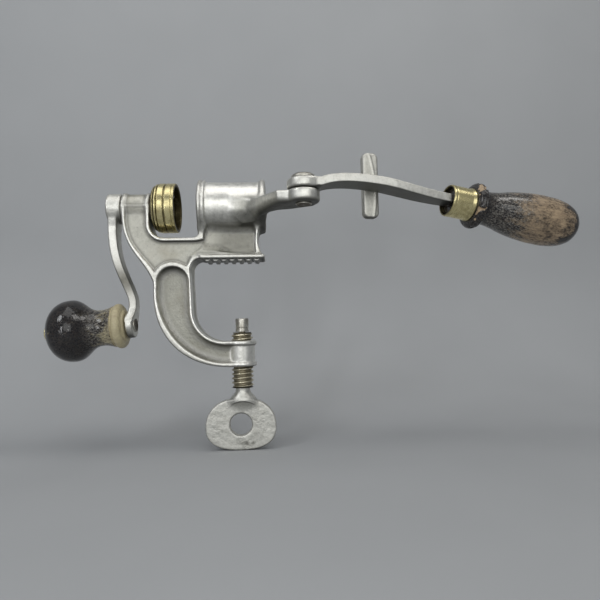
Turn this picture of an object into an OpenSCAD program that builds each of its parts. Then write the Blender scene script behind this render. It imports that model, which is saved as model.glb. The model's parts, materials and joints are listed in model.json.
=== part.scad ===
// Bench-mounted roll crimper for 12 gauge paper shells.
// A crank turns a brass crimping die, a barrel holds the shell in line with it,
// and a lever on a vertical rivet swings a cross-bar against the base of the shell.
// X runs along the barrel from the crank to the lever, Y runs from front to back, Z is up.
// The origin is on the bearing face of the jaw, on the axis of the clamp screw.

/* [Barrel] */
// Height of the barrel axis above the jaw face
axis_z = 26.4; // [25:0.2:28]
// Left end of the barrel
barrel_x0 = -19.4; // [-20:0.1:-19]
// Length of the barrel
barrel_len = 31.6; // [31:0.1:32]
// Radius of the bore that holds the shell
barrel_bore_r = 10.4; // [10.3:0.05:10.6]
// Outer radius of the tube
barrel_r = 12.1; // [12:0.1:12.4]
// Radius of the beads at its ends
barrel_bead_r = 13.4; // [13:0.1:13.8]
// Width of each end bead
barrel_bead_w = 3.4; // [3:0.1:4]

/* [Spindle boss] */
// Left end of the boss
boss_x0 = -54.9; // [-55.5:0.1:-54.5]
// Length of the boss
boss_len = 13.3; // [13:0.1:13.6]
// Outer radius of the boss
boss_r = 6.7; // [6.4:0.1:7]
// Radius of the beads at its ends
boss_bead_r = 7.3; // [7.1:0.1:7.6]
// Width of each bead
boss_bead_w = 2.6; // [2:0.1:3]

/* [Clamp frame] */
// Thickness of the frame over its rims
frame_w = 14.5; // [13:0.5:15]
// Width of the raised rims
rim_w = 1.7; // [1.4:0.1:2]
// Depth of the sunk panel under the barrel, on each side
web_sink = 1.5; // [1:0.1:2]
// Depth of the pocket in the C-shaped arm, on each side
pocket_sink = 4; // [3:0.25:4.5]
// Depth of the jaw from front to back
jaw_w = 17; // [16:0.5:18]
// Right end of the jaw
jaw_x1 = 11.2; // [10.8:0.1:12.1]
// Distance from one jaw tooth to the next
tooth_pitch = 3.8; // [3.6:0.1:4]
// Thickness of the jaw plate
jaw_t = 1.6; // [1.4:0.1:2.4]
// Height of the jaw teeth
tooth_h = 1; // [0.8:0.1:1.2]
// Radius of the inner bend of the C
throat_r = 14.3; // [14:0.1:14.5]
// Clear height between the jaw face and the screw boss
throat_h = 37.1; // [37:0.1:38]

/* [Clamp screw] */
// Outer radius of the thread
thread_r = 5.1; // [4.8:0.05:5.2]
// Pitch of the thread
thread_pitch = 2; // [1.8:0.1:2]
// Height of the screw boss
screw_boss_h = 12.3; // [12:0.1:12.6]
// Distance from the jaw face to the top of the nose
nose_gap = 26.8; // [26:0.1:27]
// Radius of the nose
nose_r = 3.1; // [2.9:0.1:3.3]
// Width of the thumb wing
wing_w = 33.2; // [32:0.2:34]
// Height of the thumb wing
wing_h = 23.6; // [23:0.2:24]
// Thickness of the thumb wing
wing_t = 4.6; // [4:0.2:5]
// Distance of the wing's middle to the left of the screw axis
wing_shift = 1; // [0:0.1:1.2]
// Radius of the hole in the wing
wing_hole_r = 5.1; // [4.8:0.1:5.4]

/* [Crank] */
// Distance from the spindle axis to the knob axis
crank_throw = 55.2; // [54:0.2:56]
// Thickness of the crank arm at its lower eye
crank_t = 3.4; // [3.2:0.1:3.6]
// Thickness of the crank arm below the hub
crank_root_t = 4.2; // [3.8:0.1:4.4]
// Width of the crank arm
crank_w = 8; // [7.5:0.25:8.5]
// Distance that the arm is set over towards the frame at the knob
crank_offset = 8.4; // [8:0.1:8.8]
// Lean of the knob axis
knob_tilt = 5; // [4:0.5:6]
// Length of the knob
knob_len = 35.6; // [35:0.2:36]
// Largest radius of the knob
knob_r = 14.4; // [13.8:0.2:14.6]
// Radius of the spindle
spindle_r = 4; // [3.8:0.1:4.2]

/* [Crimping die] */
// Outer radius of the die
die_r = 11.7; // [11.4:0.1:11.8]
// Length of the die
die_len = 11; // [10.8:0.1:11.2]
// Radius of the cup that takes the mouth of the shell
die_bore_r = 10.2; // [10:0.1:10.3]
// Depth of the cup
die_cup_depth = 7.6; // [7:0.2:8]

/* [Lever] */
// Position of the pivot rivet along the barrel axis
pivot_x = 28.6; // [28.4:0.1:29]
// Distance of the pivot rivet in front of the barrel axis
pivot_y = 32; // [31.8:0.1:32.4]
// Radius of the arm's eye and of the lever's eye
eye_r = 7; // [6.8:0.1:7.2]
// Direction of the lever as drawn, turned back from the barrel axis
lever_angle = 10; // [8:0.5:12]
// Thickness of the lever bar
bar_t = 3.8; // [3.4:0.1:4]
// Width of the lever bar
bar_w = 11.8; // [11.4:0.2:12.4]
// Distance from the rivet to the middle of the pusher
pusher_s = 32.6; // [32.4:0.1:33]
// Height of the pusher
pusher_h = 29.6; // [28:0.2:30]
// Width of the pusher
pusher_w = 7.4; // [7:0.2:8]
// Downward slope of the handle
handle_slope = 9.4; // [8.5:0.1:10]
// Length of the wooden handle
handle_len = 55.5; // [54:0.5:57]
// Largest radius of the handle
handle_r = 11.5; // [11.2:0.1:12]

/* [Hidden] */
$fn = 64;

running_gap = 0.05;    // radial clearance of a turning fit
side_gap = 0.3;        // gap between faces of pieces that move past each other
cut = 0.5;             // how far a cutter stands out of what it cuts

iron = [0.62, 0.62, 0.59];
bright_steel = [0.74, 0.74, 0.72];
brass = [0.72, 0.60, 0.30];
wood = [0.13, 0.12, 0.12];

barrel_x1 = barrel_x0 + barrel_len;
boss_x1 = boss_x0 + boss_len;
half_w = frame_w / 2;
barrel_wall_z = axis_z - barrel_bore_r - 0.4;  // a height inside the barrel's lower wall
throat_x = -22.8;                          // inner wall of the C at its top
jaw_x0 = throat_x + 4.4;                   // left end of the jaw plate
throat_x_low = throat_x + 0.9;             // inner wall where the bend starts
bend_x = throat_x_low + throat_r;          // centre of the bend
bend_z = -throat_h + throat_r;
jaw_rim_z = tooth_h;                       // lower edge of the jaw between its teeth
gap_floor_z = 11.2;                        // floor of the gap that the die turns in
gap_wall_x = boss_x1;                      // left wall of that gap, in line with the boss
gap_r = 6.5;                               // radius of its left corner
screw_boss_r = 6;
screw_boss_bead_r = 6.9;
screw_boss_bead_w = 2.4;

arm_top_z = 25.8;                          // top of the arm's eye
arm_eye_h = 5.3;
arm_root_drop = 4.6;                       // how much deeper the arm is at the barrel
lever_eye_z = arm_top_z + side_gap;        // underside of the lever's eye
lever_eye_h = 4.5;
lever_eye_top = lever_eye_z + lever_eye_h;
rivet_r = 2.9;
rivet_head_r = 5.2;
rivet_head_h = 1.8;
pivot_washer_t = 0.7;
pivot_washer_r = 5.4;

thrust_t = 0.5;
die_x0 = boss_x1 + thrust_t + side_gap;    // back face of the die
die_x1 = die_x0 + die_len;

hub_r = 7;
hub_t = 6.7;
hub_x1 = boss_x0 - side_gap;               // right face of the crank hub
hub_x0 = hub_x1 - hub_t;
tenon = 5.4;                               // square end of the spindle in the crank
peen_h = 0.6;                              // height of the peened end over the hub
eye_x = hub_x0 + crank_t / 2 + crank_offset;
eye_z = axis_z - crank_throw;
knob_eye_r = 6.1;
knob_pin_r = 2.5;
knob_bore_r = knob_pin_r + running_gap;
knob_x1 = -crank_t / 2 - side_gap;         // right end of the knob, from the middle of the eye
knob_x0 = knob_x1 - knob_len;
knob_washer_t = 1;

bar_z = 28.7;                              // middle of the bar at the rivet
bar_arch = 2.6;                            // how far the bar rises over its first stretch
ferrule_s = 66.4;                          // left end of the ferrule, from the rivet
ferrule_z = 24.2;
ferrule_len = 11;
ferrule_r = 7.1;
ferrule_wall = 0.9;
spigot_x = 2;                              // how far the wood stands back in the ferrule
tang_r = 2.6;
tang_len = 42;

screw_top_z = -nose_gap - 6.6;             // shoulder that the nose turns on
screw_neck_z = -58.8;                      // end of the thread
wing_top_z = -64.6;
wing_z = wing_top_z - wing_h / 2;
nose_pin_r = 1.5;
nose_pin_len = 4;

// Points of an arc in a plane, from angle a0 to angle a1.
function arc(cx, cy, r, a0, a1, n = 10) =
    [for (i = [0 : n]) let (a = a0 + (a1 - a0) * i / n) [cx + r * cos(a), cy + r * sin(a)]];

// Points of a cubic curve with two end points and two handles.
function bezier(p0, p1, p2, p3, n = 14) =
    [for (i = [0 : n]) let (t = i / n, u = 1 - t)
        u * u * u * p0 + 3 * u * u * t * p1 + 3 * u * t * t * p2 + t * t * t * p3];

// A list of points without its first one, to join it to another.
function rest_of(points) = [for (i = [1 : len(points) - 1]) points[i]];

// Extrudes an outline drawn in X and Z, centred on Y = 0.
module slab(depth) {
    translate([0, depth / 2, 0]) rotate([90, 0, 0]) linear_extrude(depth) children();
}

// Turns a profile drawn as [distance along the axis, radius] about the X axis.
module turned(points) {
    rotate([0, 90, 0]) rotate([0, 0, 90]) rotate_extrude()
        polygon([for (p = points) [p[1], p[0]]]);
}

// A round bead on a cylinder along X: two quarter rounds and a land.
module bead(x0, w, r, inner_r) {
    round_r = w * 0.35;
    turned(concat([[x0, inner_r]], arc(x0 + round_r, r - round_r, round_r, 180, 90, 6),
                  arc(x0 + w - round_r, r - round_r, round_r, 90, 0, 6), [[x0 + w, inner_r]]));
}

// Moves from the lever's own frame (rivet axis at the origin, bar along X) to the part.
module at_pivot() {
    translate([pivot_x, -pivot_y, 0]) rotate([0, 0, lever_angle]) children();
}

// Moves from the ferrule's left face (handle along X) to the part.
module at_handle() {
    at_pivot() translate([ferrule_s, 0, ferrule_z]) rotate([0, handle_slope, 0]) children();
}

// Moves from the middle of the crank's lower eye (pin along X) to the part.
module at_knob() {
    translate([eye_x, 0, eye_z]) rotate([0, -knob_tilt, 0]) children();
}

// ---------------------------------------------------------------- frame casting

// Outer edge of the C, from the knee under the boss to the screw boss.
c_outer = bezier([-40, -12], [-41.2, -34.2], [-27, -50.1], [-2, -49.3], 20);
// Inner edge of the C, from the screw boss up to the jaw.
c_inner = concat(arc(bend_x, bend_z, throat_r, 270, 180, 14),
                 arc(throat_x + 4.7, -4.7 + jaw_rim_z, 4.7, 180, 90, 8));
// Left edge from the spindle boss down to the knee.
left_edge = concat([[-54.6, axis_z]], bezier([-54.5, 23], [-54.2, 5.5], [-44.6, 2.2], [-40.1, -9.5], 14));

// Side outline of the casting without its boss and its barrel.
module frame_outline() {
    polygon(concat(
        left_edge,
        c_outer,
        [[-2, -throat_h]],
        c_inner,
        [[jaw_x1, jaw_rim_z]],
        bezier([jaw_x1 - 0.2, jaw_rim_z + 0.8], [8.9, 5.2], [7.4, 9.5], [9.4, barrel_wall_z], 8),
        [[barrel_x0 + 1.5, barrel_wall_z]],
        arc(barrel_x0 - 2, gap_floor_z + 3.2, 3.2, 0, -90, 6),
        arc(gap_wall_x + gap_r, gap_floor_z + gap_r, gap_r, 270, 180, 8),
        [[gap_wall_x, axis_z]]));
}

// Sunk panel between the boss, the knee and the gap.
module panel_outline() {
    polygon(concat(
        [[-53, axis_z]],
        bezier([-52.8, 20], [-52, 7], [-44.6, 3.5], [-39.6, -4.2], 10),
        arc(-31.2, -9.6, 9.6, 150, 60, 10),
        bezier([-23.4, 0.4], [-20, 4.2], [-17, 4], [-12, 3.6], 6),
        [[-17, gap_floor_z - 1], [-20, gap_floor_z - rim_w]],
        arc(gap_wall_x + gap_r, gap_floor_z + gap_r, gap_r + rim_w, 270, 180, 8),
        [[gap_wall_x - rim_w, axis_z]]));
}

// Deeper panel between the barrel and the jaw.
module barrel_panel_outline() {
    polygon(concat(
        [[-15.6, axis_z - barrel_r + 1], [-15.8, 9.2]],
        bezier([-15.6, 8.6], [-6, 9.6], [-3, 4.4], [4.6, 3.7], 6),
        bezier([6.2, 4.2], [5.8, 8], [6.0, 12], [7.2, axis_z - barrel_r + 1], 6)));
}

// Pocket in the arm of the C: the arm's outline less its rims.
module pocket_outline() {
    r = throat_r + rim_w;
    polygon(concat(
        arc(-31.2, -9.6, 7.4, 0, 180, 14),
        bezier([-38.5, -11], [-40, -27.5], [-26.8, -49.8], [-1, -47.6], 16),
        [[-1, -throat_h - rim_w]],
        arc(bend_x, bend_z, r, 268, 182, 12)));
}

// Plan outline of the arm that carries the lever.
module arm_plan() {
    polygon(concat(
        bezier([-7, -11.6], [8, -15], [11, -24], [17, -33], 10),
        arc(pivot_x, -pivot_y, eye_r, 205, 380, 20),
        bezier([33.5, -25.6], [26, -22], [19, -17], [barrel_x1 - 0.2, -11.5], 8),
        [[barrel_x1 - 1, -7], [-7, -7]]));
}

// Side outline of the arm: an eye of even thickness, deeper towards the barrel.
module arm_side() {
    z0 = arm_top_z - arm_eye_h;
    polygon(concat(
        [[pivot_x + eye_r + 1, z0]],
        bezier([20, z0], [14, z0], [6, z0 - 1], [-4, z0 - arm_root_drop], 8),
        [[-8, z0 - arm_root_drop], [-8, arm_top_z]],
        bezier([4, arm_top_z + 1.6], [12, arm_top_z + 2], [17, arm_top_z], [21, arm_top_z], 6),
        [[pivot_x + eye_r + 1, arm_top_z]]));
}

module pivot_arm() {
    intersection() {
        translate([0, 0, axis_z - 20]) linear_extrude(30) arm_plan();
        translate([0, -30, 0]) slab(60) arm_side();
    }
}

// Grooves between the jaw's teeth, cut across the jaw.
module tooth_grooves() {
    first = ceil(jaw_x0 / tooth_pitch);
    last = floor(jaw_x1 / tooth_pitch);
    for (i = [first : last])
        translate([(i + 0.5) * tooth_pitch, 0, 0]) slab(jaw_w)
            polygon([[-1.3, -cut], [1.3, -cut], [0.25, tooth_h + 0.6], [-0.25, tooth_h + 0.6]]);
}

module jaw() {
    inset = 0.4;
    difference() {
        union() {
            translate([jaw_x0, -jaw_w / 2, jaw_rim_z]) cube([jaw_x1 - jaw_x0, jaw_w, jaw_t]);
            translate([jaw_x0 + inset, inset - half_w, 0])
                cube([jaw_x1 - jaw_x0 - 1, frame_w - 2 * inset, tooth_h + 1]);
        }
        tooth_grooves();
    }
}

// Thins the rims of the C where they run into the screw boss.
module boss_taper() {
    boss_rim_y = 6.2;
    for (side = [0, 1]) mirror([0, side, 0])
        translate([0, 0, -throat_h - screw_boss_h - 1]) linear_extrude(screw_boss_h + 4)
            polygon([[-14, half_w], [-7, boss_rim_y], [1, boss_rim_y], [1, half_w + 1], [-14, half_w + 1]]);
}

module screw_boss() {
    z0 = -throat_h - screw_boss_h;
    round_r = screw_boss_bead_w * 0.35;
    cap_z = screw_boss_bead_w - round_r;
    translate([0, 0, z0]) cylinder(r = screw_boss_r, h = screw_boss_h);
    for (z = [z0, -throat_h - screw_boss_bead_w])
        translate([0, 0, z]) rotate_extrude()
            polygon(concat([[0, 0]],
                arc(screw_boss_bead_r - round_r, round_r, round_r, -90, 0, 6),
                arc(screw_boss_bead_r - round_r, cap_z, round_r, 0, 90, 6),
                [[0, screw_boss_bead_w]]));
}

module frame_casting() {
    color(iron) difference() {
        union() {
            difference() {
                slab(frame_w) frame_outline();
                for (side = [-1, 1]) {
                    translate([0, side * half_w, 0]) slab(2 * web_sink) panel_outline();
                    translate([0, side * half_w, 0]) slab(2 * web_sink + 1.6) barrel_panel_outline();
                    translate([0, side * half_w, 0]) slab(2 * pocket_sink) pocket_outline();
                }
                boss_taper();
            }
            jaw();
            screw_boss();
            translate([0, 0, axis_z]) {
                turned([[boss_x0 + 0.4, 0], [boss_x0 + 0.4, boss_r],
                        [boss_x1 - 0.4, boss_r], [boss_x1 - 0.4, 0]]);
                bead(boss_x0, boss_bead_w, boss_bead_r, 0);
                bead(boss_x1 - boss_bead_w, boss_bead_w, boss_bead_r, 0);
                turned([[barrel_x0 + 0.4, 0], [barrel_x0 + 0.4, barrel_r],
                        [barrel_x1 - 0.4, barrel_r], [barrel_x1 - 0.4, 0]]);
                bead(barrel_x0, barrel_bead_w, barrel_bead_r, 0);
                bead(barrel_x1 - barrel_bead_w, barrel_bead_w, barrel_bead_r, 0);
            }
            pivot_arm();
        }
        translate([boss_x0 - cut, 0, axis_z]) rotate([0, 90, 0])
            cylinder(r = spindle_r + running_gap, h = boss_len + 2 * cut);
        translate([barrel_x0 - cut, 0, axis_z]) rotate([0, 90, 0])
            cylinder(r = barrel_bore_r, h = barrel_len + 2 * cut);
        translate([0, 0, -throat_h - screw_boss_h - cut])
            cylinder(r = thread_r + running_gap, h = screw_boss_h + 2 * cut);
        translate([pivot_x, -pivot_y, arm_top_z - arm_eye_h - 2])
            cylinder(r = rivet_r, h = arm_eye_h + 4);
    }
}

// ---------------------------------------------------------------- spindle and die

// Spindle: square peened end in the crank, plain journal, threaded end in the die.
module spindle() {
    stub_r = spindle_r - 0.8;
    color(bright_steel) translate([0, 0, axis_z]) union() {
        turned([[hub_x1, 0], [hub_x1, spindle_r], [die_x0, spindle_r],
                [die_x0, stub_r], [die_x0 + 3, stub_r], [die_x0 + 3, 0]]);
        translate([hub_x0, -tenon / 2, -tenon / 2]) cube([hub_t, tenon, tenon]);
        turned([[hub_x0 - peen_h, 0], [hub_x0 - peen_h, tenon / 2 - 0.4], [hub_x0, tenon / 2 + 0.7], [hub_x0, 0]]);
    }
}

module thrust_washer() {
    color(brass) translate([boss_x1 + side_gap / 2, 0, axis_z]) rotate([0, 90, 0])
        difference() {
            cylinder(r = 6.6, h = thrust_t);
            translate([0, 0, -cut]) cylinder(r = spindle_r + 0.1, h = thrust_t + 2 * cut);
        }
}

// Brass cup: chamfered back with two beads, plain band, groove and rounded lip.
module die_cup() {
    lip_r = 0.5;
    color(brass) translate([die_x0, 0, axis_z]) difference() {
        turned(concat(
            [[0, 0], [0, die_r - 2.4], [0.5, die_r - 1.9]],
            arc(1.1, die_r - 1.7, 0.5, 150, 30, 4),
            arc(2.4, die_r - 0.9, 0.6, 150, 30, 4),
            [[3.1, die_r - 0.5], [3.6, die_r], [6.0, die_r], [6.3, die_r - 0.45], [6.7, die_r - 0.45], [7, die_r]],
            arc(die_len - lip_r, die_r - lip_r, lip_r, 90, 0, 5),
            [[die_len, 0]]));
        translate([die_len - die_cup_depth, 0, 0]) rotate([0, 90, 0])
            cylinder(r = die_bore_r, h = die_cup_depth + cut);
        translate([-cut, 0, 0]) rotate([0, 90, 0]) cylinder(r = spindle_r - 0.8, h = die_len);
    }
}

// Steel plug in the bottom of the cup, with a pilot for the top wad.
module die_core() {
    x0 = die_x1 - die_cup_depth;
    color(bright_steel) translate([x0, 0, axis_z])
        turned([[0, 0], [0, 9.6], [1.4, 9.6], [2, 9], [2, 6.2], [4.4, 5.6], [5, 5], [5, 0]]);
}

// Studs that roll the mouth of the shell inwards.
module crimp_pins() {
    x0 = die_x1 - die_cup_depth + 2;
    color(bright_steel) for (a = [90 : 120 : 330])
        translate([x0, 0, axis_z]) rotate([a, 0, 0]) translate([0, 0, 7.8])
            turned([[0, 0], [0, 1.1], [2.6, 1.1], [3.2, 0.6], [3.2, 0]]);
}

// ---------------------------------------------------------------- crank

// Middle line of the arm in X and Z, from the hub to the lower eye.
crank_top_x = hub_x0 + crank_root_t / 2;
crank_line = concat(
    [[crank_top_x, axis_z]],
    bezier([crank_top_x, 16], [crank_top_x - 0.3, 2], [eye_x - 2.4, -7], [eye_x + 0.2, -13.8], 12),
    bezier([eye_x + 0.8, -15.4], [eye_x + 2.1, -19.2], [eye_x + 1.2, eye_z + 5.6], [eye_x + 0.3, eye_z + 3], 6),
    [[eye_x, eye_z]]);

// Half the thickness of the arm at point i of its middle line.
function arm_half_t(i) =
    (crank_root_t + (crank_t - crank_root_t) * i / (len(crank_line) - 1)) / 2;

// Unit normal of the middle line at point i, pointing to the right.
function line_normal(p, i) =
    let (a = p[max(i - 1, 0)], b = p[min(i + 1, len(p) - 1)], d = (b - a) / norm(b - a))
    [-d[1], d[0]];

module crank_side() {
    n = len(crank_line);
    left = [for (i = [0 : n - 1]) crank_line[i] - line_normal(crank_line, i) * arm_half_t(i)];
    right = [for (i = [n - 1 : -1 : 0]) crank_line[i] + line_normal(crank_line, i) * arm_half_t(i)];
    polygon(concat(left, right));
}

// Front outline of the arm in Y and Z: wide at the hub, narrower below it.
module crank_front() {
    w = crank_w / 2;
    w_low = w - 0.7;
    polygon([[-hub_r + 0.4, axis_z - 2], [-w - 0.6, axis_z - 9], [-w, axis_z - 15], [-w_low, eye_z + 8],
             [-knob_eye_r + 0.6, eye_z + 2], [knob_eye_r - 0.6, eye_z + 2], [w_low, eye_z + 8],
             [w, axis_z - 15], [w + 0.6, axis_z - 9], [hub_r - 0.4, axis_z - 2]]);
}

module crank_arm() {
    color(iron) difference() {
        union() {
            translate([hub_x0, 0, axis_z]) rotate([0, 90, 0]) cylinder(r = hub_r, h = hub_t);
            intersection() {
                slab(2 * hub_r) crank_side();
                translate([hub_x0 - 5, 0, 0]) rotate([90, 0, 90]) linear_extrude(25) crank_front();
            }
            at_knob() translate([-crank_t / 2, 0, 0]) rotate([0, 90, 0])
                cylinder(r = knob_eye_r, h = crank_t);
        }
        translate([hub_x0 - cut, -tenon / 2, axis_z - tenon / 2])
            cube([hub_t + 2 * cut, tenon, tenon]);
        at_knob() translate([-crank_t, 0, 0]) rotate([0, 90, 0])
            cylinder(r = knob_pin_r, h = 2 * crank_t);
        at_knob() for (x = [-crank_t * 1.5, crank_t / 2])
            translate([x, 0, 0]) rotate([0, 90, 0]) cylinder(r = knob_eye_r + 2 * cut, h = crank_t);
    }
}

// Pin of the knob, peened over the eye and over the end washer.
module knob_pin() {
    x0 = knob_x0 - side_gap - knob_washer_t;
    color(bright_steel) at_knob()
        turned([[x0 - 0.6, 0], [x0 - 0.6, 1.6], [x0, 2.2], [x0, knob_pin_r - 0.5],
                [x0 + knob_washer_t, knob_pin_r - 0.5], [x0 + knob_washer_t, knob_pin_r],
                [crank_t / 2, knob_pin_r], [crank_t / 2, 3.6], [crank_t / 2 + 0.5, 3.4],
                [crank_t / 2 + 0.8, 2.4], [crank_t / 2 + 0.8, 0]]);
}

module knob_end_washer() {
    x0 = knob_x0 - side_gap - knob_washer_t;
    color(brass) at_knob() translate([x0, 0, 0]) rotate([0, 90, 0]) difference() {
        cylinder(r = 3.6, h = knob_washer_t);
        translate([0, 0, -cut]) cylinder(r = knob_pin_r - 0.5, h = knob_washer_t + 2 * cut);
    }
}

// Turned knob: flat end, bulb, waist and a bead next to the crank.
module crank_knob() {
    x1 = knob_x1;
    color(wood) at_knob() difference() {
        turned(concat(
            [[knob_x0, 0], [knob_x0, 4.8]],
            bezier([knob_x0 + 0.4, 6], [knob_x0 + 2.4, 12], [knob_x0 + 6.6, knob_r], [knob_x0 + 11, knob_r], 9),
            bezier([knob_x0 + 12, knob_r], [knob_x0 + 17, knob_r], [knob_x0 + 18, 8.4], [x1 - 11.5, 8.4], 9),
            bezier([x1 - 11, 8.4], [x1 - 9, 8.4], [x1 - 7, 9.2], [x1 - 5.6, 9.6], 5),
            [[x1 - 5.4, 9.2]],
            arc(x1 - 3, 8.4, 2.1, 160, 20, 8),
            [[x1 - 0.8, 7.6], [x1, 7.2], [x1, 0]]));
        translate([knob_x0 - cut, 0, 0]) rotate([0, 90, 0])
            cylinder(r = knob_bore_r, h = knob_len + 2 * cut);
    }
}

// ---------------------------------------------------------------- lever

// Rivet fixed in the arm, headed over the washer.
module pivot_rivet() {
    head_z = lever_eye_top + side_gap / 2 + pivot_washer_t;
    color(bright_steel) translate([pivot_x, -pivot_y, 0]) rotate_extrude()
        polygon(concat(
            [[0, arm_top_z - arm_eye_h - 0.8], [rivet_r + 0.5, arm_top_z - arm_eye_h - 0.8],
             [rivet_r + 0.5, arm_top_z - arm_eye_h], [rivet_r, arm_top_z - arm_eye_h], [rivet_r, head_z]],
            [for (a = [0 : 15 : 90]) [rivet_head_r * cos(a), head_z + rivet_head_h * sin(a)]]));
}

module pivot_washer() {
    color(bright_steel) translate([pivot_x, -pivot_y, lever_eye_top + side_gap / 2]) difference() {
        cylinder(r = pivot_washer_r, h = pivot_washer_t);
        translate([0, 0, -cut]) cylinder(r = rivet_r, h = pivot_washer_t + 2 * cut);
    }
}

// Middle line of the bar in the lever's own frame, as [distance, height].
bar_line = concat(
    [[0, bar_z]],
    bezier([6.6, bar_z], [12.6, bar_z + bar_arch], [22, bar_z + bar_arch], [33, bar_z + 1.4], 10),
    bezier([35, bar_z + 1.2], [46, bar_z - 0.6], [54, ferrule_z + 1.4], [ferrule_s, ferrule_z], 8));

module bar_side() {
    n = len(bar_line);
    low = [for (i = [0 : n - 1]) bar_line[i] - line_normal(bar_line, i) * bar_t / 2];
    high = [for (i = [n - 1 : -1 : 0]) bar_line[i] + line_normal(bar_line, i) * bar_t / 2];
    polygon(concat(low, high));
}

// Plan outline of the bar: as wide as the eye, narrower at the ferrule.
module bar_plan() {
    w = bar_w / 2;
    polygon(concat(arc(0, 0, eye_r, 120, 240, 12),
                   [[8, -w], [40, -w], [50, -w + 0.4], [ferrule_s - 4, -4.6], [ferrule_s + 1, -4.4],
                    [ferrule_s + 1, 4.4], [ferrule_s - 4, 4.6], [50, w - 0.4], [40, w], [8, w]]));
}

module lever_bar() {
    color(iron) difference() {
        union() {
            at_pivot() {
                intersection() {
                    slab(2 * eye_r) bar_side();
                    translate([0, 0, ferrule_z - 6]) linear_extrude(20) bar_plan();
                }
                translate([0, 0, lever_eye_z]) cylinder(r = eye_r, h = lever_eye_h);
            }
            at_handle() translate([-1, 0, 0]) rotate([0, 90, 0]) cylinder(r = tang_r, h = tang_len);
        }
        at_pivot() translate([0, 0, lever_eye_z - 2])
            cylinder(r = rivet_r + running_gap, h = lever_eye_h + 4);
    }
}

// Cross-bar on the back of the lever: rounded front, ridge across its working face.
module pusher_bar() {
    z_mid = bar_z + 2.6;
    t0 = bar_w / 2;
    depth = 3.8;
    ridge = 0.8;
    half_h = pusher_h / 2;
    corner = 2.4;
    half_p = pusher_w / 2;
    color(iron) at_pivot() translate([pusher_s, t0, z_mid]) union() {
        rotate([-90, 0, 0]) linear_extrude(depth) polygon(concat(
            arc(half_p - corner, half_h - corner, corner, 0, 90, 5),
            arc(corner - half_p, half_h - corner, corner, 90, 180, 5),
            arc(corner - half_p, corner - half_h, corner, 180, 270, 5),
            arc(half_p - corner, corner - half_h, corner, 270, 360, 5)));
        translate([0, depth, 0]) rotate([0, 0, 90]) slab_ridge(half_h - corner, ridge);
    }
}

// Low three-sided ridge along Z, standing on a face that looks along X.
module slab_ridge(half_h, ridge) {
    translate([0, 0, -half_h]) linear_extrude(2 * half_h)
        polygon([[0, -1.6], [ridge, 0], [0, 1.6]]);
}

// Thin brass tube, open where the bar goes in.
module handle_ferrule() {
    color(brass) at_handle() difference() {
        turned([[0, 0], [0, ferrule_r - 0.5], [0.4, ferrule_r], [ferrule_len - 0.8, ferrule_r],
                [ferrule_len, ferrule_r + 0.4], [ferrule_len, 0]]);
        translate([-cut, 0, 0]) rotate([0, 90, 0])
            cylinder(r = ferrule_r - ferrule_wall, h = ferrule_len + 2 * cut);
    }
}

// Turned handle: spigot in the ferrule, bead, neck and a long pear-shaped grip.
module lever_handle() {
    x0 = ferrule_len;
    x1 = ferrule_len + handle_len;
    color(wood) at_handle() difference() {
        turned(concat(
            [[spigot_x, 0], [spigot_x, ferrule_r - ferrule_wall], [x0, ferrule_r - ferrule_wall], [x0, 8.6]],
            arc(x0 + 2.6, 8, 2.4, 165, 15, 8),
            bezier([x0 + 5.6, 8], [x0 + 7, 7.2], [x0 + 11, 7.8], [x0 + 15, 8.7], 6),
            bezier([x0 + 16, 9], [x0 + 24, 11], [x0 + 31, handle_r], [x0 + 38, handle_r], 8),
            bezier([x0 + 39, handle_r], [x0 + 50, handle_r - 0.3], [x1, 8.2], [x1, 0], 10)));
        rotate([0, 90, 0]) cylinder(r = tang_r, h = tang_len - 1);
    }
}

// ---------------------------------------------------------------- clamp screw

// Nose that bears on the underside of the bench and stays still while the screw turns.
module screw_nose() {
    h = -nose_gap - screw_top_z - side_gap;
    color(bright_steel) translate([0, 0, screw_top_z + side_gap]) difference() {
        rotate_extrude() polygon([[0, 0], [nose_r, 0], [nose_r, h - 0.5], [nose_r - 0.5, h], [0, h]]);
        translate([0, 0, -cut]) cylinder(r = nose_pin_r + running_gap, h = nose_pin_len + 2 * cut);
    }
}

// Outline of the wing: a wide oval, flatter below.
module wing_outline() {
    w = wing_w / 2;
    top = wing_h / 2;
    polygon(concat(
        bezier([-4, top], [-9, top], [-w, 8], [-w, -1], 10),
        bezier([-w, -1.2], [-w, -8], [-12, -top], [0, -top], 10),
        bezier([0.2, -top], [12, -top], [w, -8], [w, -1.2], 10),
        bezier([w, -1], [w, 8], [9, top], [4, top], 10)));
}

module clamp_screw() {
    ring_n = floor((screw_top_z - screw_neck_z) / thread_pitch);
    color(iron) union() {
        // grooved rings stand for the turns of the thread
        translate([0, 0, screw_neck_z]) rotate_extrude()
            polygon(concat([[0, -7.4], [6, -7.4], [3.6, -3.4], [3.4, -0.6], [thread_r - 0.9, 0]],
                [for (i = [0 : ring_n - 1], k = [0 : 2])
                    [thread_r - (k == 0 ? 0.8 : 0), (i + (k == 0 ? 0.15 : k == 1 ? 0.5 : 0.65)) * thread_pitch]],
                [[thread_r - 0.8, screw_top_z - screw_neck_z], [0, screw_top_z - screw_neck_z]]));
        translate([0, 0, screw_top_z]) cylinder(r = nose_pin_r, h = nose_pin_len);
        translate([-wing_shift, 0, wing_z]) difference() {
            slab(wing_t) wing_outline();
            rotate([90, 0, 0]) cylinder(r = wing_hole_r, h = wing_t + 2 * cut, center = true);
        }
    }
}

frame_casting();
spindle();
thrust_washer();
die_cup();
die_core();
crimp_pins();
crank_arm();
knob_pin();
knob_end_washer();
crank_knob();
pivot_rivet();
pivot_washer();
lever_bar();
pusher_bar();
handle_ferrule();
lever_handle();
screw_nose();
clamp_screw();
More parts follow.
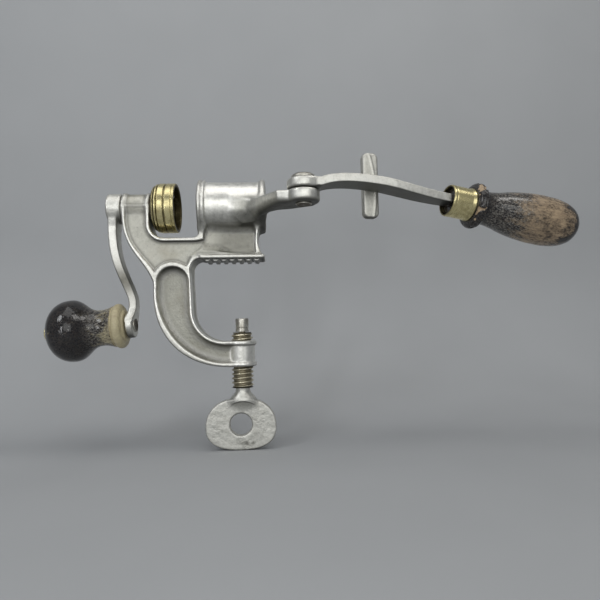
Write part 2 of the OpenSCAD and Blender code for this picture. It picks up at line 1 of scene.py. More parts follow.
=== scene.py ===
"""Looks of a bench-clamped roll crimper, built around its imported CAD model.

Shapes are worked out in millimetres, in the frame of the CAD model, and scaled to metres when a mesh is made.
Cast pieces are distance fields turned into meshes, turned pieces are profiles swept round an axis.
"""
import json
import math

import bpy
import numpy as np
from mathutils import Matrix, Vector


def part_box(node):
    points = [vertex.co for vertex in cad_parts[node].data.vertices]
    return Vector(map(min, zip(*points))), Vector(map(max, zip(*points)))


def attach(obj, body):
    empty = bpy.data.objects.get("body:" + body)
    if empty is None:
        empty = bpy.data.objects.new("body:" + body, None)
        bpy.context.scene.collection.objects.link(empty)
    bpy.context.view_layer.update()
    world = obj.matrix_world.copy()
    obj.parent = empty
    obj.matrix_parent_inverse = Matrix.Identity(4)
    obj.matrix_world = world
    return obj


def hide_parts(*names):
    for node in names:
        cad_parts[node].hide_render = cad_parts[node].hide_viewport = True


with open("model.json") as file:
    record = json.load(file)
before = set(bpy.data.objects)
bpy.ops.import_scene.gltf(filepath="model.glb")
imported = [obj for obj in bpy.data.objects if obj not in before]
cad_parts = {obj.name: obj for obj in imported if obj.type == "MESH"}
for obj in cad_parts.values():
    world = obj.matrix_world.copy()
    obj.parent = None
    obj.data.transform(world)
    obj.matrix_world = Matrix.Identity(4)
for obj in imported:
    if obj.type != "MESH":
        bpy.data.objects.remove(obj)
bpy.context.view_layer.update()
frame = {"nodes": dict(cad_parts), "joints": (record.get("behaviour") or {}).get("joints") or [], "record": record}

MM = 0.001

# ---- measures taken from the frame

record = frame["record"]
joints = {j["name"]: j for j in frame["joints"]}
mounts = {m["name"]: m for m in record["mounts"]}


def node_box(node):
    """Lowest and highest corner of a CAD node, in millimetres."""
    lo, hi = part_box(node)
    return np.array(lo) / MM, np.array(hi) / MM


barrel = mounts["shell_barrel"]
AXIS_Z = barrel["pos_m"][2] / MM
BORE_R = barrel["dims"]["r_mm"]
BARREL_X0 = barrel["pos_m"][0] / MM - barrel["dims"]["length_mm"] / 2
BARREL_X1 = BARREL_X0 + barrel["dims"]["length_mm"]
FRAME_LO, FRAME_HI = node_box("frame_casting")
BOSS_X0 = FRAME_LO[0]
BARREL_BEAD_R = FRAME_HI[2] - AXIS_Z
DIE_X0, DIE_X1 = (edge[0] for edge in node_box("die_cup"))
DIE_R = node_box("die_cup")[1][1]
BOSS_X1 = node_box("thrust_washer")[0][0] - 0.15
PIVOT = np.array(joints["lever_swing"]["pos_m"]) / MM
NOSE_Z0, NOSE_Z1 = (edge[2] for edge in node_box("screw_nose"))
NOSE_R = node_box("screw_nose")[1][0]
WASHER_Z0, WASHER_Z1 = (edge[2] for edge in node_box("pivot_washer"))
RIVET_Z0, RIVET_Z1 = (edge[2] for edge in node_box("pivot_rivet"))
SCREW_LO, SCREW_HI = node_box("clamp_screw")
KNOB = np.array(joints["knob_spin"]["pos_m"]) / MM
KNOB_AXIS = Vector(joints["knob_spin"]["axis"])
FLOOR_Z = SCREW_LO[2]

# ---- dimensions of the shapes

BARREL_R = 12.1
BOSS_R, BOSS_BEAD_R = 6.7, 7.3
HALF_W = 7.25                 # half thickness of the casting over its rims
JAW_HALF_W = 8.5
JAW_X1, JAW_Z0, JAW_T = 11.2, 1.0, 1.6
TOOTH_PITCH = 3.8
THROAT_R, THROAT_H = 14.3, 37.1
THROAT_X = -22.8
BEND_X, BEND_Z = THROAT_X + 0.9 + THROAT_R, THROAT_R - THROAT_H
RIM_W, POCKET_DEPTH = 1.7, 4.0
GAP_FLOOR_Z, GAP_WALL_X, GAP_R = 11.2, BOSS_X1, 6.5
SCREW_BOSS_H, SCREW_BOSS_R, SCREW_BOSS_BEAD_R = 12.3, 6.0, 6.9
THREAD_R, THREAD_PITCH = 5.1, 2.0
THREAD_END_Z = -58.8
WING_W, WING_H, WING_T, WING_HOLE_R = 33.2, 23.6, 4.6, 5.1
WING_X = -1.0
WING_Z = SCREW_LO[2] + WING_H / 2

ARM_TOP_Z, ARM_EYE_H, EYE_R = 25.8, 5.3, 6.96
RIVET_R, RIVET_HEAD_R, RIVET_WASHER_R = 2.9, 5.2, 5.4
LEVER_EYE_Z0, LEVER_EYE_H = 26.1, 4.5
LEVER_ANGLE = math.radians(10)
BAR_Z, BAR_ARCH, BAR_T, BAR_W = 28.7, 2.6, 3.8, 11.8
PUSHER_S, PUSHER_H, PUSHER_W, PUSHER_DEPTH = 32.6, 29.6, 7.4, 4.2
PUSHER_MID, PUSHER_T0 = BAR_Z + 2.6, BAR_W / 2 - 0.4
FERRULE_S, FERRULE_Z, FERRULE_LEN, FERRULE_R = 66.4, 24.2, 11.0, 7.1
HANDLE_SLOPE = math.radians(9.4)
HANDLE_LEN, HANDLE_R = 55.45, 11.5

SPINDLE_R = 4.0
HUB_R, HUB_T = 7.0, 6.7
HUB_X1 = BOSS_X0 - 0.3
HUB_X0 = HUB_X1 - HUB_T
TENON = 5.4
CRANK_T, CRANK_ROOT_T, CRANK_W = 3.4, 4.2, 8.0
# middle and reach of the painted shade on the crank
PAINTED_SHADE_Z, PAINTED_SHADE_REACH = -8, 9
KNOB_EYE_R, KNOB_PIN_R = 6.1, 2.5
KNOB_X1 = -CRANK_T / 2 - 0.3
KNOB_LEN, KNOB_R = 35.6, 14.4
KNOB_X0 = KNOB_X1 - KNOB_LEN
KNOB_WASHER_T = 1.0

CAMERA_AT = 15.45, -237.0, -30.93
CAMERA_TURN = 3.0, 3.0, 1.2               # pitch, yaw and roll in degrees
SENSOR, LENS = 36, 29.7

CELL = {"casting": 0.455, "crank": 0.33, "bar": 0.36, "pusher": 0.24, "wing": 0.32, "thread": 0.12}
COARSER = 1.0      # larger cells while trying things out


# ---- curves

def arc(cx, cy, r, a0, a1, n=10):
    """Points of an arc from angle a0 to angle a1, in degrees."""
    return [(cx + r * math.cos(math.radians(a0 + (a1 - a0) * i / n)),
             cy + r * math.sin(math.radians(a0 + (a1 - a0) * i / n))) for i in range(n + 1)]


def bezier(p0, p1, p2, p3, n=14):
    """Points of a cubic curve with two end points and two handles."""
    p0, p1, p2, p3 = (np.array(p, float) for p in (p0, p1, p2, p3))
    steps = (i / n for i in range(n + 1))
    return [tuple((1 - t) ** 3 * p0 + 3 * (1 - t) ** 2 * t * p1 + 3 * (1 - t) * t * t * p2 + t ** 3 * p3)
            for t in steps]


def ribbon(line, thickness):
    """Outline of a strip along a line of points, of one thickness or of one for each point."""
    line = np.array(line, float)
    half = np.broadcast_to(np.asarray(thickness, float), len(line))[:, None] / 2
    along = np.gradient(line, axis=0)
    along /= np.linalg.norm(along, axis=1)[:, None]
    normal = np.stack([-along[:, 1], along[:, 0]], 1) * half
    return [tuple(p) for p in np.concatenate([line - normal, (line + normal)[::-1]])]


# ---- noise, the same at every run

def lattice(ix, iy, iz, seed):
    """A number from 0 to 1 for each whole-numbered point."""
    h = (ix * 374761393 + iy * 668265263 + iz * 2147483647 + seed * 1274126177) & 0xFFFFFFFF
    h = ((h ^ (h >> 13)) * 1274126177) & 0xFFFFFFFF
    return ((h ^ (h >> 16)) & 0xFFFFFF) / 0xFFFFFF


def noise(p, size, seed=0):
    """Smooth noise from -1 to 1 at points p, with bumps of about the given size."""
    q = np.asarray(p, float) / size
    cell = np.floor(q).astype(np.int64)
    f = q - cell
    f = f * f * (3 - 2 * f)
    total = 0
    for dx in (0, 1):
        for dy in (0, 1):
            for dz in (0, 1):
                weight = (np.where(dx, f[:, 0], 1 - f[:, 0]) * np.where(dy, f[:, 1], 1 - f[:, 1])
                          * np.where(dz, f[:, 2], 1 - f[:, 2]))
                total = total + weight * lattice(cell[:, 0] + dx, cell[:, 1] + dy, cell[:, 2] + dz, seed)
    return total * 2 - 1


def fractal(p, size, seed=0, octaves=3):
    """Noise with finer noise on it."""
    return sum(noise(p, size / 2 ** i, seed + i) / 2 ** i for i in range(octaves)) / (2 - 2 ** (1 - octaves))


# ---- distance fields

def polygon(u, v, points):
    """Signed distance to an outline in a plane, negative inside."""
    near, inside = None, None
    ends = points[1:] + points[:1]
    for (ax, ay), (bx, by) in zip(points, ends):
        ex, ey = bx - ax, by - ay
        length = ex * ex + ey * ey
        if length < 1e-12:
            continue
        wx, wy = u - ax, v - ay
        t = np.clip((wx * ex + wy * ey) / length, 0, 1)
        d = (wx - ex * t) ** 2 + (wy - ey * t) ** 2
        crossed = ((ay > v) != (by > v)) & (u < ex * (v - ay) / (ey if ey else 1e-12) + ax)
        near = d if near is None else np.minimum(near, d)
        inside = crossed if inside is None else inside ^ crossed
    return np.where(inside, -1, 1) * np.sqrt(near)


def join(a, b, k):
    """Union with a fillet of about size k."""
    h = np.clip(0.5 + 0.5 * (b - a) / k, 0, 1)
    return b + (a - b) * h - k * h * (1 - h)


def meet(a, b, k):
    """Intersection with a rounded edge of about size k."""
    return -join(-a, -b, k)


def ease(t):
    """A smooth rise from 0 to 1 while t does."""
    t = np.clip(t, 0, 1)
    return t * t * (3 - 2 * t)


def carve(a, b, k):
    """a with b cut out of it, the edge rounded by about k."""
    return meet(a, -b, k)


def rod(along, start, end, radius_at, r, k):
    """A round bar: along is the distance along its axis, radius_at the distance from it."""
    return meet(radius_at - r, abs(along - (start + end) / 2) - (end - start) / 2, k)


def field_mesh(field, lo, hi, step):
    """Vertices, faces and outward normals of the surface where a field is zero."""
    axes = [np.arange(a - 2 * step, b + 3 * step, step) for a, b in zip(lo, hi)]
    x, y, z = axes[0][:, None, None], axes[1][None, :, None], axes[2][None, None, :]
    value = np.broadcast_to(field(x, y, z), [len(a) for a in axes]).astype(np.float32)
    solid = value < 0
    nx, ny, nz = (n - 1 for n in value.shape)
    corners = [(i, j, k) for i in (0, 1) for j in (0, 1) for k in (0, 1)]

    def at(array, c):
        return array[c[0]:c[0] + nx, c[1]:c[1] + ny, c[2]:c[2] + nz]

    count = sum(at(solid, c).astype(np.int8) for c in corners)
    cells = np.argwhere((count > 0) & (count < 8))
    number = np.full((nx, ny, nz), -1, np.int64)
    number[tuple(cells.T)] = np.arange(len(cells))
    total, hits = np.zeros((len(cells), 3)), np.zeros(len(cells))
    for c in corners:
        for axis in range(3):
            if c[axis]:
                continue
            d = list(c)
            d[axis] = 1
            v0, v1 = (value[tuple((cells + e).T)] for e in (c, d))
            crossed = (v0 < 0) != (v1 < 0)
            t = np.where(crossed, v0 / np.where(crossed, v0 - v1, 1), 0)
            point = np.array(c, float) + np.outer(t, np.eye(3)[axis])
            total += point * crossed[:, None]
            hits += crossed
    vertices = (cells + total / hits[:, None]) * step + np.array([a[0] for a in axes])

    faces = []
    for axis in range(3):
        a, b = (axis + 1) % 3, (axis + 2) % 3
        upper = np.roll(solid, -1, axis)
        edge = solid != upper
        inner = [slice(1, -1)] * 3
        inner[axis] = slice(0, -1)
        mask = np.zeros_like(edge)
        mask[tuple(inner)] = edge[tuple(inner)]
        where = np.argwhere(mask)
        ea, eb = np.eye(3, dtype=int)[a], np.eye(3, dtype=int)[b]
        ring = [number[tuple((where - s).T)] for s in (ea * 0, ea, ea + eb, eb)]
        quad = np.stack(ring, 1)
        outward = solid[tuple(where.T)]
        faces.append(np.where(outward[:, None], quad, quad[:, ::-1]))
    faces = np.concatenate(faces)

    small = 0.02
    for _ in range(2):
        normals = gradient(field, vertices, small)
        slope = np.linalg.norm(normals, axis=1)
        reach = np.clip(field(*vertices.T) / np.maximum(slope, 0.2), -0.6 * step, 0.6 * step)
        vertices = vertices - normals / np.maximum(slope, 1e-6)[:, None] * reach[:, None]
    normals = gradient(field, vertices, small)
    return vertices, faces, normals / np.maximum(np.linalg.norm(normals, axis=1), 1e-6)[:, None]


def gradient(field, p, h):
    """Slope of a field at points p."""
    return np.stack([(field(*(p + step).T) - field(*(p - step).T)) / (2 * h)
                     for step in np.eye(3) * h], 1)


def wear(field, vertices, normals, reach, rough, polish=0.0):
    """Marks for the cast iron, from 0 to 1: how much each point stands out, lies in a hollow and faces
    down, and how rough it is. polish is the least that any point stands out."""
    outside = field(*(vertices + normals * reach).T) / reach
    inside = -field(*(vertices - normals * reach).T) / reach
    return {"proud": np.clip((1 - inside) * 1.6, polish, 1), "hollow": np.clip((1 - outside) * 1.8, 0, 1),
            # under: how far a point faces down, for painted shade on undersides
            "under": np.clip(-1.35 * normals[:, 2] - 0.2, 0, 1),
            "rough_cast": np.broadcast_to(rough, len(vertices))}


def stain_and_shade(marks, where, depth):
    """Takes the shine off a cast piece where a value from 0 to 1 says, and darkens it by up to depth. It lays a
    stain on the wing and painted shade on the crank.
    """
    marks["proud"] = marks["proud"] * (1 - where)
    marks["hollow"] = np.maximum(marks["hollow"], depth * where)


def lumpy(vertices, normals, size, seed, depth):
    """Vertices sunk by 0 to twice a depth, in lumps of about the given size."""
    return vertices - normals * (noise(vertices, size, seed)[:, None] * depth + depth)


def cast_surface(field, box, cell, reach, rough, polish, lumps=None):
    """Vertices, faces and marks of a cast piece. lumps holds the last values of lumpy()."""
    vertices, faces, normals = field_mesh(field, *box, cell * COARSER)
    marks = wear(field, vertices, normals, reach, rough, polish)
    return lumpy(vertices, normals, *lumps) if lumps else vertices, faces, marks


# ---- pieces

def add_piece(name, vertices, faces, body, node, finish, place=None, attributes=None):
    """Makes a mesh from millimetres, moved to its place, ties it to its CAD body and hides its CAD node. The
    piece's own coordinates stay with it as an attribute, for the materials."""
    slot, material = finish
    vertices = np.asarray(vertices, float)
    placed = vertices * MM
    if place is not None:
        placed = placed @ np.array(place.to_3x3()).T + np.array(place.translation)
    mesh = bpy.data.meshes.new(name)
    mesh.from_pydata(placed.tolist(), [], [list(map(int, f)) for f in faces])
    mesh.polygons.foreach_set("use_smooth", [True] * len(mesh.polygons))
    own = mesh.attributes.new("own", "FLOAT_VECTOR", "POINT")
    own.data.foreach_set("vector", vertices.astype(np.float32).ravel())
    for key, values in (attributes or {}).items():
        mesh.attributes.new(key, "FLOAT", "POINT").data.foreach_set("value", np.asarray(values, np.float32))
    mesh.update()
    piece = bpy.data.objects.new(name, mesh)
    bpy.context.scene.collection.objects.link(piece)
    mesh.materials.append(material)
    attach(piece, body)
    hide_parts(*([node] if isinstance(node, str) else node))
    return piece


def along_axis(origin, axis):
    """Place of a turned piece: its own X axis lies along the given axis, its Z as near upright as can be."""
    x = Vector(axis).normalized()
    up = Vector((0, 0, 1)) if abs(x.z) < 0.9 else Vector((0, 1, 0))
    y = up.cross(x).normalized()
    z = x.cross(y)
    turn = Matrix((x, y, z)).transposed().to_4x4()
    return Matrix.Translation(Vector(origin) * MM) @ turn


def even(line, spacing=0.5):
    """A line of points with more points on its long stretches."""
    line = [np.array(p[:2], float) for p in line]
    dense = [line[0]]
    for a, b in zip(line, line[1:]):
        n = max(1, math.ceil(np.linalg.norm(b - a) / spacing))
        dense += [a + (b - a) * (j + 1) / n for j in range(n)]
    return np.array([p for i, p in enumerate(dense) if i == 0 or np.linalg.norm(p - dense[i - 1]) > 1e-4])


def shifted(start, points):
    """Points of a profile with a distance added to how far along the axis each of them lies."""
    return [(start + p[0], *p[1:]) for p in points]


def rounded(corners, spacing=0.5):
    """Profile of a turned piece from (distance, radius, rounding) corners, with close, even points."""
    pts = [np.array(c[:2], float) for c in corners]
    radii = [c[2] if len(c) > 2 else 0 for c in corners]
    line = [pts[0]]
    for i in range(1, len(pts) - 1):
        back, ahead = pts[i - 1] - pts[i], pts[i + 1] - pts[i]
        lb, la = np.linalg.norm(back), np.linalg.norm(ahead)
        back, ahead = back / lb, ahead / la
        half = math.acos(float(np.clip(back @ ahead, -1, 1))) / 2
        r = radii[i]
        if r <= 0 or half > math.radians(88):
            line.append(pts[i])
            continue
        cutoff = min(r / math.tan(half), 0.48 * lb, 0.48 * la)
        start, end = pts[i] + back * cutoff, pts[i] + ahead * cutoff
        line += [np.array(p) for p in
                 bezier(start, start + (pts[i] - start) * 0.55, end + (pts[i] - end) * 0.55, end, 5)]
    line.append(pts[-1])
    return even(line, spacing)


def turned(profile, around=96, relief=None):
    """Sweeps a profile of [distance, radius] round the X axis. A profile that starts and ends on the axis
    is closed there, and any other is closed on itself."""
    profile = np.asarray(profile, float)
    on_axis = profile[0, 1] < 1e-6 and profile[-1, 1] < 1e-6
    rings = profile[1:-1] if on_axis else profile
    angle = np.linspace(0, 2 * math.pi, around, endpoint=False)
    s, a = np.meshgrid(rings[:, 0], angle, indexing="ij")
    r = np.repeat(rings[:, 1:2], around, 1)
    if relief is not None:
        flat = np.stack([s.ravel(), (r * np.cos(a)).ravel(), (r * np.sin(a)).ravel()], 1)
        r = r + relief(flat, s.ravel(), a.ravel()).reshape(r.shape)
    vertices = np.stack([s, r * np.cos(a), r * np.sin(a)], -1).reshape(-1, 3)
    n = len(rings)
    rows = [(i, i + 1) for i in range(n - 1)] + ([] if on_axis else [(n - 1, 0)])
    faces = [(p * around + j, p * around + (j + 1) % around, q * around + (j + 1) % around, q * around + j)
             for p, q in rows for j in range(around)]
    if on_axis:
        first, last = len(vertices), len(vertices) + 1
        vertices = np.concatenate([vertices, [[profile[0, 0], 0, 0], [profile[-1, 0], 0, 0]]])
        faces += [(first, (j + 1) % around, j) for j in range(around)]
        faces += [(last, (n - 1) * around + j, (n - 1) * around + (j + 1) % around) for j in range(around)]
    return vertices, faces


def hollows_of(profile, around, reach=0.7):
    """For every vertex of turned(): how deep its ring lies below its neighbours, from 0 to 1."""
    profile = np.asarray(profile, float)
    gap = abs(profile[:, None, 0] - profile[None, :, 0])
    higher = np.where(gap < reach, profile[None, :, 1], -1).max(1) - profile[:, 1]
    depth = np.clip(higher / reach, 0, 1)
    on_axis = profile[0, 1] < 1e-6 and profile[-1, 1] < 1e-6
    per_ring = depth[1:-1] if on_axis else depth
    values = np.repeat(per_ring, around)
    return np.concatenate([values, [0, 0]]) if on_axis else values


# ---- materials

class Nodes:
    """Short names for the shader nodes that the materials below are made of."""

    def __init__(self, name, of_cad=False):
        self.of_cad = of_cad
        self.material = bpy.data.materials.new(name)
        self.material.use_nodes = True
        self.tree = self.material.node_tree
        self.shader = self.tree.nodes["Principled BSDF"]

    def add(self, kind, inputs=(), out=0, **settings):
        node = self.tree.nodes.new(kind)
        for key, value in settings.items():
            setattr(node, key, value)
        for key, value in dict(inputs).items():
            self.feed(node.inputs[key], value)
        return node.outputs[out]

    def feed(self, socket, value):
        if isinstance(value, bpy.types.NodeSocket):
            self.tree.links.new(value, socket)
        else:
            socket.default_value = value

    def place(self, stretch=(1, 1, 1)):
        """Coordinates of the piece in millimetres, squeezed along an axis to stretch a pattern."""
        if self.of_cad:
            here, unit = self.add("ShaderNodeTexCoord", out="Object"), 1 / MM
        else:
            here, unit = self.add("ShaderNodeAttribute", out="Vector", attribute_name="own"), 1
        return self.add("ShaderNodeMapping", {"Vector": here, "Scale": [unit * s for s in stretch]})

    def noise(self, size, detail=3, rough=0.55, at=None):
        """Noise from 0 to 1 with bumps of a size in millimetres."""
        return self.add("ShaderNodeTexNoise", {"Vector": at or self.place(), "Scale": 1 / size,
                                               "Detail": detail, "Roughness": rough})

    def attribute(self, name):
        return self.add("ShaderNodeAttribute", out="Fac", attribute_name=name)

    def math(self, operation, a, b=0.0, clamp=False):
        return self.add("ShaderNodeMath", {0: a, 1: b}, operation=operation, use_clamp=clamp)

    def times(self, a, b, clamp=False):
        return self.math("MULTIPLY", a, b, clamp)

    def plus(self, a, b):
        return self.math("ADD", a, b)

    def minus(self, a, b):
        return self.math("SUBTRACT", a, b)

    def span(self, value, low, high, to_low=0.0, to_high=1.0):
        """Stretches low..high to another range, clamped."""
        return self.add("ShaderNodeMapRange", {"Value": value, "From Min": low, "From Max": high,
                                               "To Min": to_low, "To Max": to_high})

    def blend(self, factor, a, b):
        """Colour a where the factor is 0 and b where it is 1."""
        node = self.tree.nodes.new("ShaderNodeMix")
        node.data_type = "RGBA"
        colours = [s for s in node.inputs if s.type == "RGBA"]
        self.feed(node.inputs[0], factor)
        for socket, colour in zip(colours, (a, b)):
            self.feed(socket, (*colour, 1) if isinstance(colour, tuple) else colour)
        return [s for s in node.outputs if s.type == "RGBA"][0]

    def bump(self, height, depth, normal=None):
        """A bump of the given depth in millimetres."""
        inputs = {"Height": height, "Distance": depth * MM, "Strength": 1.0}
        if normal is not None:
            inputs["Normal"] = normal
        return self.add("ShaderNodeBump", inputs)

    def finish(self, colour, roughness, normal, metallic=0.0):
        self.feed(self.shader.inputs["Base Color"], colour)
        self.feed(self.shader.inputs["Roughness"], roughness)
        self.feed(self.shader.inputs["Normal"], normal)
        self.feed(self.shader.inputs["Metallic"], metallic)
        return self.material


def nickelled_iron(name):
    """Cast iron with its nickel plate worn grey: bright where it stands out, with painted highlights on the
    casting's ramp and arm, dirty and darkened with painted shade in its hollows, and painted shade on surfaces
    that face down.
    """
    m = Nodes(name)
    proud, hollow, rough, under = (m.attribute(a) for a in ("proud", "hollow", "rough_cast", "under"))
    cloud = m.noise(9, 4, 0.6)
    mottle = m.noise(1.7, 5, 0.65)
    grain = m.noise(0.55, 3, 0.6)
    pits = m.span(m.noise(0.8, 2, 0.5), 0.66, 0.74)
    bright, dull, stain = (0.60, 0.59, 0.53), (0.36, 0.355, 0.31), (0.30, 0.265, 0.19)
    dirt, shadow, silver = (0.055, 0.05, 0.042), (0.085, 0.085, 0.08), (0.90, 0.89, 0.84)
    mixed = m.plus(m.times(cloud, 0.5), m.times(mottle, 0.5))
    colour = m.blend(m.span(mixed, 0.38, 0.62), dull, bright)
    colour = m.blend(m.span(m.noise(14, 3, 0.6), 0.5, 0.78, 0.0, 0.55), colour, stain)
    colour = m.blend(m.times(rough, m.span(grain, 0.35, 0.7, 0.15, 0.6)), colour, dull)
    colour = m.blend(m.times(pits, 0.5), colour, dirt)
    # dirt and painted shade: darker in hollows and wherever the hollow mark carries painted shade
    dirt_and_shade = m.times(m.math("POWER", hollow, 1.3), m.span(mottle, 0.3, 0.7, 0.75, 1.3), clamp=True)
    colour = m.blend(dirt_and_shade, colour, dirt)
    # painted shade: surfaces that face down are darkened towards the shadow colour
    colour = m.blend(m.times(under, 0.8), colour, shadow)
    # silver where edges are polished, and painted highlights where the casting's ramp and arm carry them; kept off
    # surfaces that face down as part of their painted shade
    polish_and_highlight = m.times(m.times(proud, m.minus(1.0, under)), m.span(mottle, 0.25, 0.6, 0.55, 1.0), clamp=True)
    colour = m.blend(polish_and_highlight, colour, silver)
    base_rough = m.span(m.plus(mottle, m.times(cloud, 0.6)), 0.55, 1.05, 0.38, 0.56)
    shiny = m.minus(base_rough, m.times(polish_and_highlight, 0.13))
    roughness = m.plus(shiny, m.times(m.math("MAXIMUM", rough, dirt_and_shade), 0.12))
    normal = m.bump(m.times(m.noise(0.9, 3, 0.55), rough), 0.22)
    normal = m.bump(m.minus(grain, m.times(pits, 0.7)), 0.018, normal)
    return m.finish(colour, roughness, normal, 1.0)


def turned_metal(name, bright, dull, dirt, ring=0.25, depth=0.012, rough=(0.24, 0.46), of_cad=False):
    """Metal turned on a lathe: fine rings round the axis, dulled in clouds, dirt in its grooves."""
    m = Nodes(name, of_cad)
    hollow = m.attribute("hollow")
    rings = m.noise(ring, 3, 0.7, m.place((1, 0.05, 0.05)))
    cloud = m.noise(3.2, 5, 0.65)
    speck = m.noise(0.5, 3, 0.6)
    colour = m.blend(m.span(cloud, 0.4, 0.68), bright, dull)
    colour = m.blend(m.span(rings, 0.52, 0.75, 0.0, 0.45), colour, dull)
    colour = m.blend(m.span(speck, 0.66, 0.76, 0.0, 0.38), colour, dirt)
    colour = m.blend(m.times(hollow, m.span(cloud, 0.3, 0.7, 0.8, 1.2), clamp=True), colour, dirt)
    roughness = m.span(m.plus(cloud, m.times(hollow, 0.4)), 0.35, 0.75, *rough)
    normal = m.bump(m.plus(rings, m.times(speck, 0.5)), depth)
    return m.finish(colour, roughness, normal, 1.0)


def crazed_paint(name, light_wood, dark_wood):
    """Black paint on turned wood, crazed, glossy where it holds, greyed in places by wear and by a painted sheen,
    and worn through to the wood.
    """
    m = Nodes(name)
    bare, scuffed = m.attribute("bare"), m.attribute("scuffed")
    along = m.place((0.55, 1, 1))
    grain = m.noise(1.1, 5, 0.7, m.place((0.12, 1, 1)))
    patch = m.noise(3.5, 5, 0.7, along)
    fine = m.noise(0.7, 4, 0.65, along)
    cells = m.add("ShaderNodeTexVoronoi", {"Vector": along, "Scale": 1 / 1.5, "Randomness": 1.0},
                  feature="DISTANCE_TO_EDGE")
    crack = m.span(cells, 0.015, 0.07, 1.0, 0.0)
    worn = m.span(m.plus(m.times(patch, 0.6), m.times(fine, 0.4)), 0.0, 1.0)
    through = m.span(m.plus(worn, m.times(bare, 0.62)), 0.63, 0.86)
    wood = m.blend(m.span(grain, 0.35, 0.68), light_wood, dark_wood)
    wood = m.blend(m.span(m.noise(6, 3, 0.6), 0.4, 0.7, 0.0, 0.4), wood, dark_wood)
    black, brown_black, grey, in_crack = ((0.006, 0.006, 0.008), (0.022, 0.018, 0.016), (0.24, 0.225, 0.20),
                                          (0.055, 0.04, 0.03))
    paint = m.blend(m.span(patch, 0.4, 0.7, 0.0, 0.6), black, brown_black)
    # worn grey paint on the handle's neck and the knob's waist, which also stands for painted sheen and painted
    # glints
    grey_scuffs_and_sheen = m.times(m.span(m.noise(0.5, 3, 0.6, along), 0.44, 0.66), scuffed)
    paint = m.blend(grey_scuffs_and_sheen, paint, grey)
    paint = m.blend(m.times(crack, 0.4), paint, in_crack)
    colour = m.blend(through, paint, wood)
    gloss = m.span(fine, 0.35, 0.65, 0.06, 0.15)
    painted = m.minus(1.0, through)
    roughness = m.plus(m.times(painted, gloss), m.times(through, 0.42))
    height = m.minus(m.plus(m.times(painted, 0.7), m.times(fine, 0.9)), m.times(crack, 0.8))
    normal = m.bump(height, 0.012)
    normal = m.bump(grain, 0.005, normal)
    return m.finish(colour, roughness, normal)


# a finish is the name of a slot and a material; add_piece uses only the material
IRON = "cast_iron", nickelled_iron("worn_nickel_on_iron")
STEEL_TONES = (0.64, 0.62, 0.56), (0.38, 0.36, 0.31), (0.09, 0.075, 0.055)
BRASS_TONES = (0.82, 0.73, 0.40), (0.50, 0.43, 0.22), (0.085, 0.07, 0.035)
STEEL = "steel", turned_metal("turned_steel", *STEEL_TONES)
SPINDLE = turned_metal("spindle_steel", *STEEL_TONES, of_cad=True)
BRASS = "brass", turned_metal("aged_brass", *BRASS_TONES, 0.3, 0.005, (0.2, 0.4))
THRUST = turned_metal("washer_brass", *BRASS_TONES, of_cad=True)
OILED_TONES = (0.74, 0.69, 0.54), (0.47, 0.42, 0.30), (0.10, 0.08, 0.045)
THREAD = "cast_iron", turned_metal("oiled_thread", *OILED_TONES, 0.3, 0.01)
HANDLE_WOOD = (0.52, 0.39, 0.25), (0.25, 0.18, 0.115)
KNOB_WOOD = (0.58, 0.52, 0.33), (0.38, 0.32, 0.20)
HANDLE_PAINT = "painted_wood", crazed_paint("crazed_paint_on_handle", *HANDLE_WOOD)
KNOB_PAINT = "painted_wood", crazed_paint("crazed_paint_on_knob", *KNOB_WOOD)


# ---- the casting

JAW_LEN = JAW_X1 - (THROAT_X + 4.4)
JAW_MID = JAW_X1 - JAW_LEN / 2
C_OUTER = bezier((-40, -12), (-41.2, -34.2), (-27, -50.1), (-2, -49.3), 20)
C_INNER = (arc(BEND_X, BEND_Z, THROAT_R, 270, 180, 14)
           + arc(THROAT_X + 4.7, -3.7, 4.7, 180, 90, 8))
LEFT_EDGE = [(-54.6, AXIS_Z)] + bezier((-54.5, 23), (-54.2, 5.5), (-44.6, 2.2), (-40.1, -9.5), 14)
LIP = bezier((JAW_X1 - 0.2, 1.8), (8.9, 5.2), (7.4, 9.5), (9.4, 16), 10)
OUTLINE = (LEFT_EDGE + C_OUTER + [(-2, -THROAT_H)] + C_INNER + [(JAW_X1, 1)] + LIP
           + [(BARREL_X0 + 0.6, 16)]
           + arc(BARREL_X0 - 2.6, GAP_FLOOR_Z + 3.2, 3.2, 0, -90, 6)
           + arc(GAP_WALL_X + GAP_R, GAP_FLOOR_Z + GAP_R, GAP_R, 270, 180, 8)
           + [(GAP_WALL_X, AXIS_Z)])
PANEL = ([(-53, AXIS_Z)] + bezier((-52.8, 20), (-52, 7), (-44.6, 3.5), (-39.2, -5.0), 12)
         + arc(-31.2, -9.6, 9.5, 150, 62, 10)
         + bezier((-24.6, -2.2), (-22, 3.0), (-19, 5.2), (-12, 4.6), 6)
         + bezier((-8, 4.2), (0, 3.6), (4, 3.5), (6.0, 3.5), 4)
         + bezier((7.2, 4.0), (6.8, 8), (7.0, 12), (8.2, 20), 8)
         + [(-16.4, 20), (-16.8, GAP_FLOOR_Z - 1), (-20, GAP_FLOOR_Z - RIM_W)]
         + arc(GAP_WALL_X + GAP_R, GAP_FLOOR_Z + GAP_R, GAP_R + RIM_W, 270, 180, 8)
         + [(GAP_WALL_X - RIM_W, AXIS_Z)])
POCKET = (arc(-31.2, -9.6, 7.3, 0, 180, 14)
          + bezier((-38.4, -11), (-40, -27.5), (-26.8, -49.6), (-1, -47.5), 18)
          + [(1, -47.5), (1, -THROAT_H - RIM_W)]
          + arc(BEND_X, BEND_Z, THROAT_R + RIM_W, 268, 182, 12))
THROAT = C_INNER + [(30, JAW_Z0), (30, -THROAT_H)]
